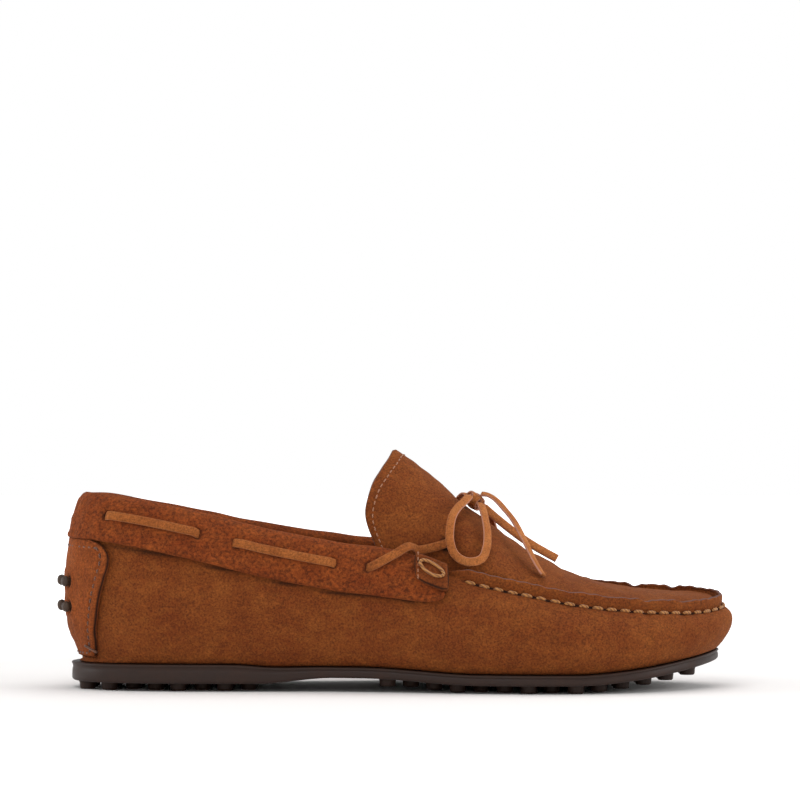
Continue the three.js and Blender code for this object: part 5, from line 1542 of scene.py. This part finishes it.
@dataclass
class HeelPatch:
    """The suede patch up the back of the heel, its running stitch and the rubber pebbles."""

    half_widths: tuple = (24.5, 28.0, 30.3, 32.2, 34.6, 36.4, 35.5)
    low: float = 0.035
    offset: float = 1.4
    skin: float = 1.2
    stitch_inset: float = 3.6
    stitch_size: tuple = (2.3, 0.95, 0.95)
    stitch_pitch: float = 3.3
    tuck: float = 2.9
    pebble_heights: tuple = (46.0, 35.5)
    pebble_size: tuple = (2.35, 2.35, 2.75)
    pebble_spacing: float = 13.0

    def station(self, arc: Array) -> Array:
        """The station a measured distance round from the middle of the heel."""
        stations = np.linspace(0, 0.3, 600)
        lengths = np.r_[0, np.cumsum(np.linalg.norm(np.diff(LAST.widest.at(stations), axis=0), axis=1))]
        return np.sign(arc) * np.interp(np.abs(arc), lengths, stations)

    def half(self, share: Array) -> Array:
        """The patch's half width at a share of its height."""
        rows = [(place, width, 0.0) for place, width in zip(np.linspace(0, 1, 7), self.half_widths)]
        line = Spline(rows).at(np.linspace(0, 1, 200))
        width = np.interp(share, line[:, 0], line[:, 1])
        corner = np.clip((share - 0.85) / 0.15, 0, 1)
        return width - 8.0 * (1 - np.sqrt(1 - corner**2 + 1e-9))

    def spot(self, arc: Array, share: Array, offset: Array) -> Array:
        """A point of the patch, by its distance round and its share of the height."""
        station = self.station(arc)
        top = 1 - (20.0 + 0.2) / LAST.wall_length(station)
        return LAST.off_wall(station, mix(self.low, top, share), offset)

    def low_share(self, share: Array) -> Array:
        """How far a height belongs to the patch's lower edge, which is tucked in, from 0 to 1."""
        return 1 - smooth(share, 0.0, 0.26)

    def leather(self) -> None:
        """The patch, with its edge pressed down along the stitches and domes round the pebbles."""
        share = np.linspace(0, 1, 60)[None]
        across = np.linspace(-1, 1, 150)[:, None]
        across = np.sign(across) * np.abs(across) ** 0.9
        arc = across * self.half(share)
        share = share + 0 * arc
        inside = self.half(share) - np.abs(arc)
        plain = self.spot(arc, share, self.offset + 0 * arc)
        height = 0.22 * soft_noise(31, 13.0, plain) + 0.1 * soft_noise(32, 4.0, plain)
        height += 0.35 * bump(inside, 1.6, 1.4) - 0.4 * bump(inside, self.stitch_inset, 1.0)
        height -= 0.9 * np.exp(-inside / 0.7) + self.tuck * self.low_share(share)
        # Painted shade in the crevice along the patch's edge and round the foot of each pebble.
        shade = 0.9 * bump(inside, 0.0, 0.55)
        for place in self.pebble_spots(0.0)[0]:
            near = np.linalg.norm(plain - place, axis=-1)
            height += 0.5 * bump(near, 4.2, 1.2) - 1.2 * bump(near, 0.0, 2.6, 4)
            shade = np.maximum(shade, bump(near, 0.0, 2.9, 6))
        outer = self.spot(arc, share, self.offset + self.skin + height)
        inner = self.spot(arc, share, self.offset - 0.9 - 3.0 * self.low_share(share))
        sections, edge = sheet_sections(outer, inner)
        values = np.zeros(sections.shape[:2])
        values[:, :outer.shape[1]] = shade
        item = loft("heel_patch_suede", sections, Finish.PATCH.material(),
                    values={"edge": edge * 0.0, "shade": values})
        settle(item, SHOE, "suede", "heel_patch")

    def pebble_spots(self, offset: float) -> tuple[Array, Array]:
        """The pebbles' places a distance off the wall, and their outward directions."""
        places, looks = [], []
        levels = np.linspace(0, 1, 400)
        rise = LAST.wall_point(np.zeros(400), levels)[:, 2]
        for height in self.pebble_heights:
            level = np.interp(height, rise, levels)
            for arc in (-self.pebble_spacing, 0.0, self.pebble_spacing):
                station = self.station(np.array(arc))
                places.append(LAST.off_wall(station, level, offset + 0.0 * station))
                looks.append(LAST.wall_normal(station, np.array(level)))
        return np.array(places), np.array(looks)

    def pebbles(self) -> None:
        """The rubber pebbles, each a rounded head on a neck."""
        profile = ((0, -0.5), (0.9, -0.5), (0.82, 0.0), (0.72, 0.55), (0.86, 0.72), (1.0, 0.95),
                   (1.0, 1.15), (0.9, 1.42), (0.7, 1.62), (0.4, 1.74), (0, 1.78))
        pebble = turned_piece("pebble", profile, 24)
        places, looks = self.pebble_spots(self.offset)
        item = REPEATS.lay("heel_pebbles", places, looks, pebble, self.pebble_size, Finish.PEBBLE,
                           spread=0.03)
        bpy.data.objects.remove(pebble)
        settle(item, SHOE, "rubber", "heel_pebble_insert")

    def stitches(self, stitch: bpy.types.Object) -> None:
        """The running stitch inside the patch's edge, with a cross stitch at each lower corner."""
        share = np.linspace(0.93, 0.02, 160)
        arc = self.half(share) - self.stitch_inset
        low = np.linspace(arc[-1], -arc[-1], 80)[1:-1]
        top = np.linspace(-arc[0], arc[0], 80)[1:-1]
        arcs = np.r_[arc, low, -arc[::-1], top]
        shares = np.r_[share, np.full(78, 0.02), share[::-1], np.full(78, 0.935)]
        line = self.spot(arcs, shares, self.offset + self.skin - 0.25 - 2.7 * self.low_share(shares))
        facing = unit(self.spot(arcs, shares, self.offset + 3.0) - line)
        item = REPEATS.lay("heel_patch_stitches", line, facing, stitch, self.stitch_size,
                           Finish.DARK_THREAD, pitch=self.stitch_pitch)
        settle(item, SHOE, "thread", "heel_patch_thread")
        for side, name in ((OUTER, "lateral"), (INNER, "medial")):
            arcs = -side * np.linspace(self.half(0.03) - 5.2, self.half(0.03) + 1.6, 12)
            shares = mix(0.085, 0.03, np.linspace(0, 1, 12))
            sunk = self.tuck * self.low_share(shares)
            line = self.spot(arcs, shares, self.offset + self.skin + 0.35 - sunk)
            item = loft(f"patch_cross_stitch_{name}", tube_sections(line, 0.55, 10),
                        Finish.DARK_THREAD.material())
            settle(item, SHOE, "thread")

    def build(self, stitch: bpy.types.Object) -> None:
        """Make the patch, its pebbles and its stitches."""
        self.leather()
        self.pebbles()
        self.stitches(stitch)


# ---- The tabs ----------------------------------------------------------------------------------


@dataclass
class Tab:
    """A folded suede tab over one end of the collar, with a pale running stitch and a thread loop."""

    side: int
    name: str
    start: float = 148.6
    end: float = 162.0
    top: float = -1.2
    drop: float = 9.5
    offset: float = 3.65
    skin: float = 1.6
    loop: tuple = (9.0, 4.4)
    stitch_size: tuple = (2.1, 0.5, 0.5)
    stitch_pitch: float = 2.6

    def spot(self, across: Array, down: Array, extra: Array) -> Array:
        """A point of the tab: across 0 to 1 from back to front, down 0 to 1 from its top edge."""
        across, down, extra = np.broadcast_arrays(across, down, extra)
        x = mix(self.start + 0.5 * down, self.end + 0.6 * (1 - down), across)
        bend = 0.5 * (1 - (2 * across - 1) ** 2) + 0.35 * down * across
        return LAST.drop(LAST.station_at(x, self.side), mix(self.top, self.drop + bend, down),
                         self.offset + extra)

    def corners(self, across: Array, down: Array) -> tuple[Array, Array]:
        """Round the tab's corners by drawing its square outline in towards a rounded one."""
        u, v = 2 * across - 1, 2 * down - 1
        pull = 1 - 0.09 * np.clip(np.abs(u * v), 0, 1) ** 3
        return (u * pull + 1) / 2, (v * pull + 1) / 2

    def leather(self) -> None:
        """The tab's folded leather, plump at its rim and drawn down at the loop's hole."""
        across, down = np.meshgrid(np.linspace(0, 1, 48), np.linspace(0, 1, 40), indexing="ij")
        across, down = self.corners(across, down)
        inside = np.minimum(np.minimum(across, 1 - across) * 13, np.minimum(down, 1 - down) * 11)
        hole = bump(np.hypot((across - 0.13) * 13, (down - 0.33) * 11), 0.0, 0.85, 4)
        height = 0.35 * bump(inside, 1.1, 0.9) - 0.5 * np.exp(-inside / 0.5) - 0.8 * hole
        height += 0.1 * soft_noise(41, 4.0, self.spot(across, down, 0.0 * across))
        outer = self.spot(across, down, self.skin + height)
        inner = self.spot(across, down, -0.3 + 0 * across)
        sections, edge = sheet_sections(outer, inner)
        # Painted shade in the crevice round the tab's rim and in the loop's hole.
        values = np.zeros(sections.shape[:2])
        values[:, :outer.shape[1]] = np.maximum(hole, 0.85 * bump(inside, 0.0, 0.55))
        item = loft(f"tab_{self.name}_suede", sections, Finish.TAB.material(),
                    values={"edge": edge * 0.3, "shade": values})
        settle(item, SHOE, "dark_suede", f"tab_{self.name}")

    def threads(self, stitch: bpy.types.Object) -> None:
        """The pale stitch along the back edge, and the oval loop of the hand-sewing thread."""
        down = np.linspace(0.08, 0.92, 30)
        line = self.spot(0.1 + 0 * down, down, self.skin + 0.2)
        facing = unit(self.spot(0.1 + 0 * down, down, self.skin + 1.2) - line)
        item = REPEATS.lay(f"tab_{self.name}_stitches", line, facing, stitch, self.stitch_size,
                           Finish.HEM_THREAD, pitch=self.stitch_pitch)
        settle(item, SHOE, "thread")
        turn = np.linspace(0, 2 * math.pi, 60, endpoint=False)
        long, tall = self.loop
        across = 0.5 + np.cos(turn - 0.2) * (long / 2 + 0.15 * np.sin(2 * turn)) / 13.4
        level = 0.46 + np.sin(turn) * (tall / 2) / 10.7
        ring = self.spot(across, level, self.skin + 0.75 + 0.25 * np.sin(turn * 2))
        sections = tube_sections(np.vstack([ring[-1:], ring, ring[:1]]), 0.68, 10)[1:-1]
        item = loft(f"tab_{self.name}_loop", sections, Finish.SEAM_THREAD.material(), wrapped=True)
        settle(item, SHOE, "thread", f"tab_thread_{self.name}")

    def build(self, stitch: bpy.types.Object) -> None:
        """Make the tab and its threads."""
        self.leather()
        self.threads(stitch)


# ---- The whole shoe ----------------------------------------------------------------------------


CARRIED = {"heel_counter": Finish.BOARD, "insole_board": Finish.BOARD, "footbed_foam": Finish.FOAM,
           "apron_lining": Finish.LINING}


def dress_carried() -> None:
    """Give the CAD nodes that stay in the model their finishes."""
    for node, finish in CARRIED.items():
        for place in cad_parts[node].material_slots:
            place.link = "OBJECT"
            place.material = finish.material()


def main() -> None:
    """Build the studio and every piece of the shoe."""
    logging.basicConfig(level=logging.INFO, format="%(message)s")
    Studio().build()
    Bow().build()
    Lace().build()
    Sole().build()
    shell = Shell()
    shell.build()
    Collar().build()
    Inside().build()
    stitch = stitch_piece()
    Instep().build(stitch)
    Seam().build(stitch, shell)
    HeelPatch().build(stitch)
    for side, name in ((OUTER, "lateral"), (INNER, "medial")):
        Tab(side, name).build(stitch)
    bpy.data.objects.remove(stitch)
    dress_carried()


if __name__ == "__main__":
    main()
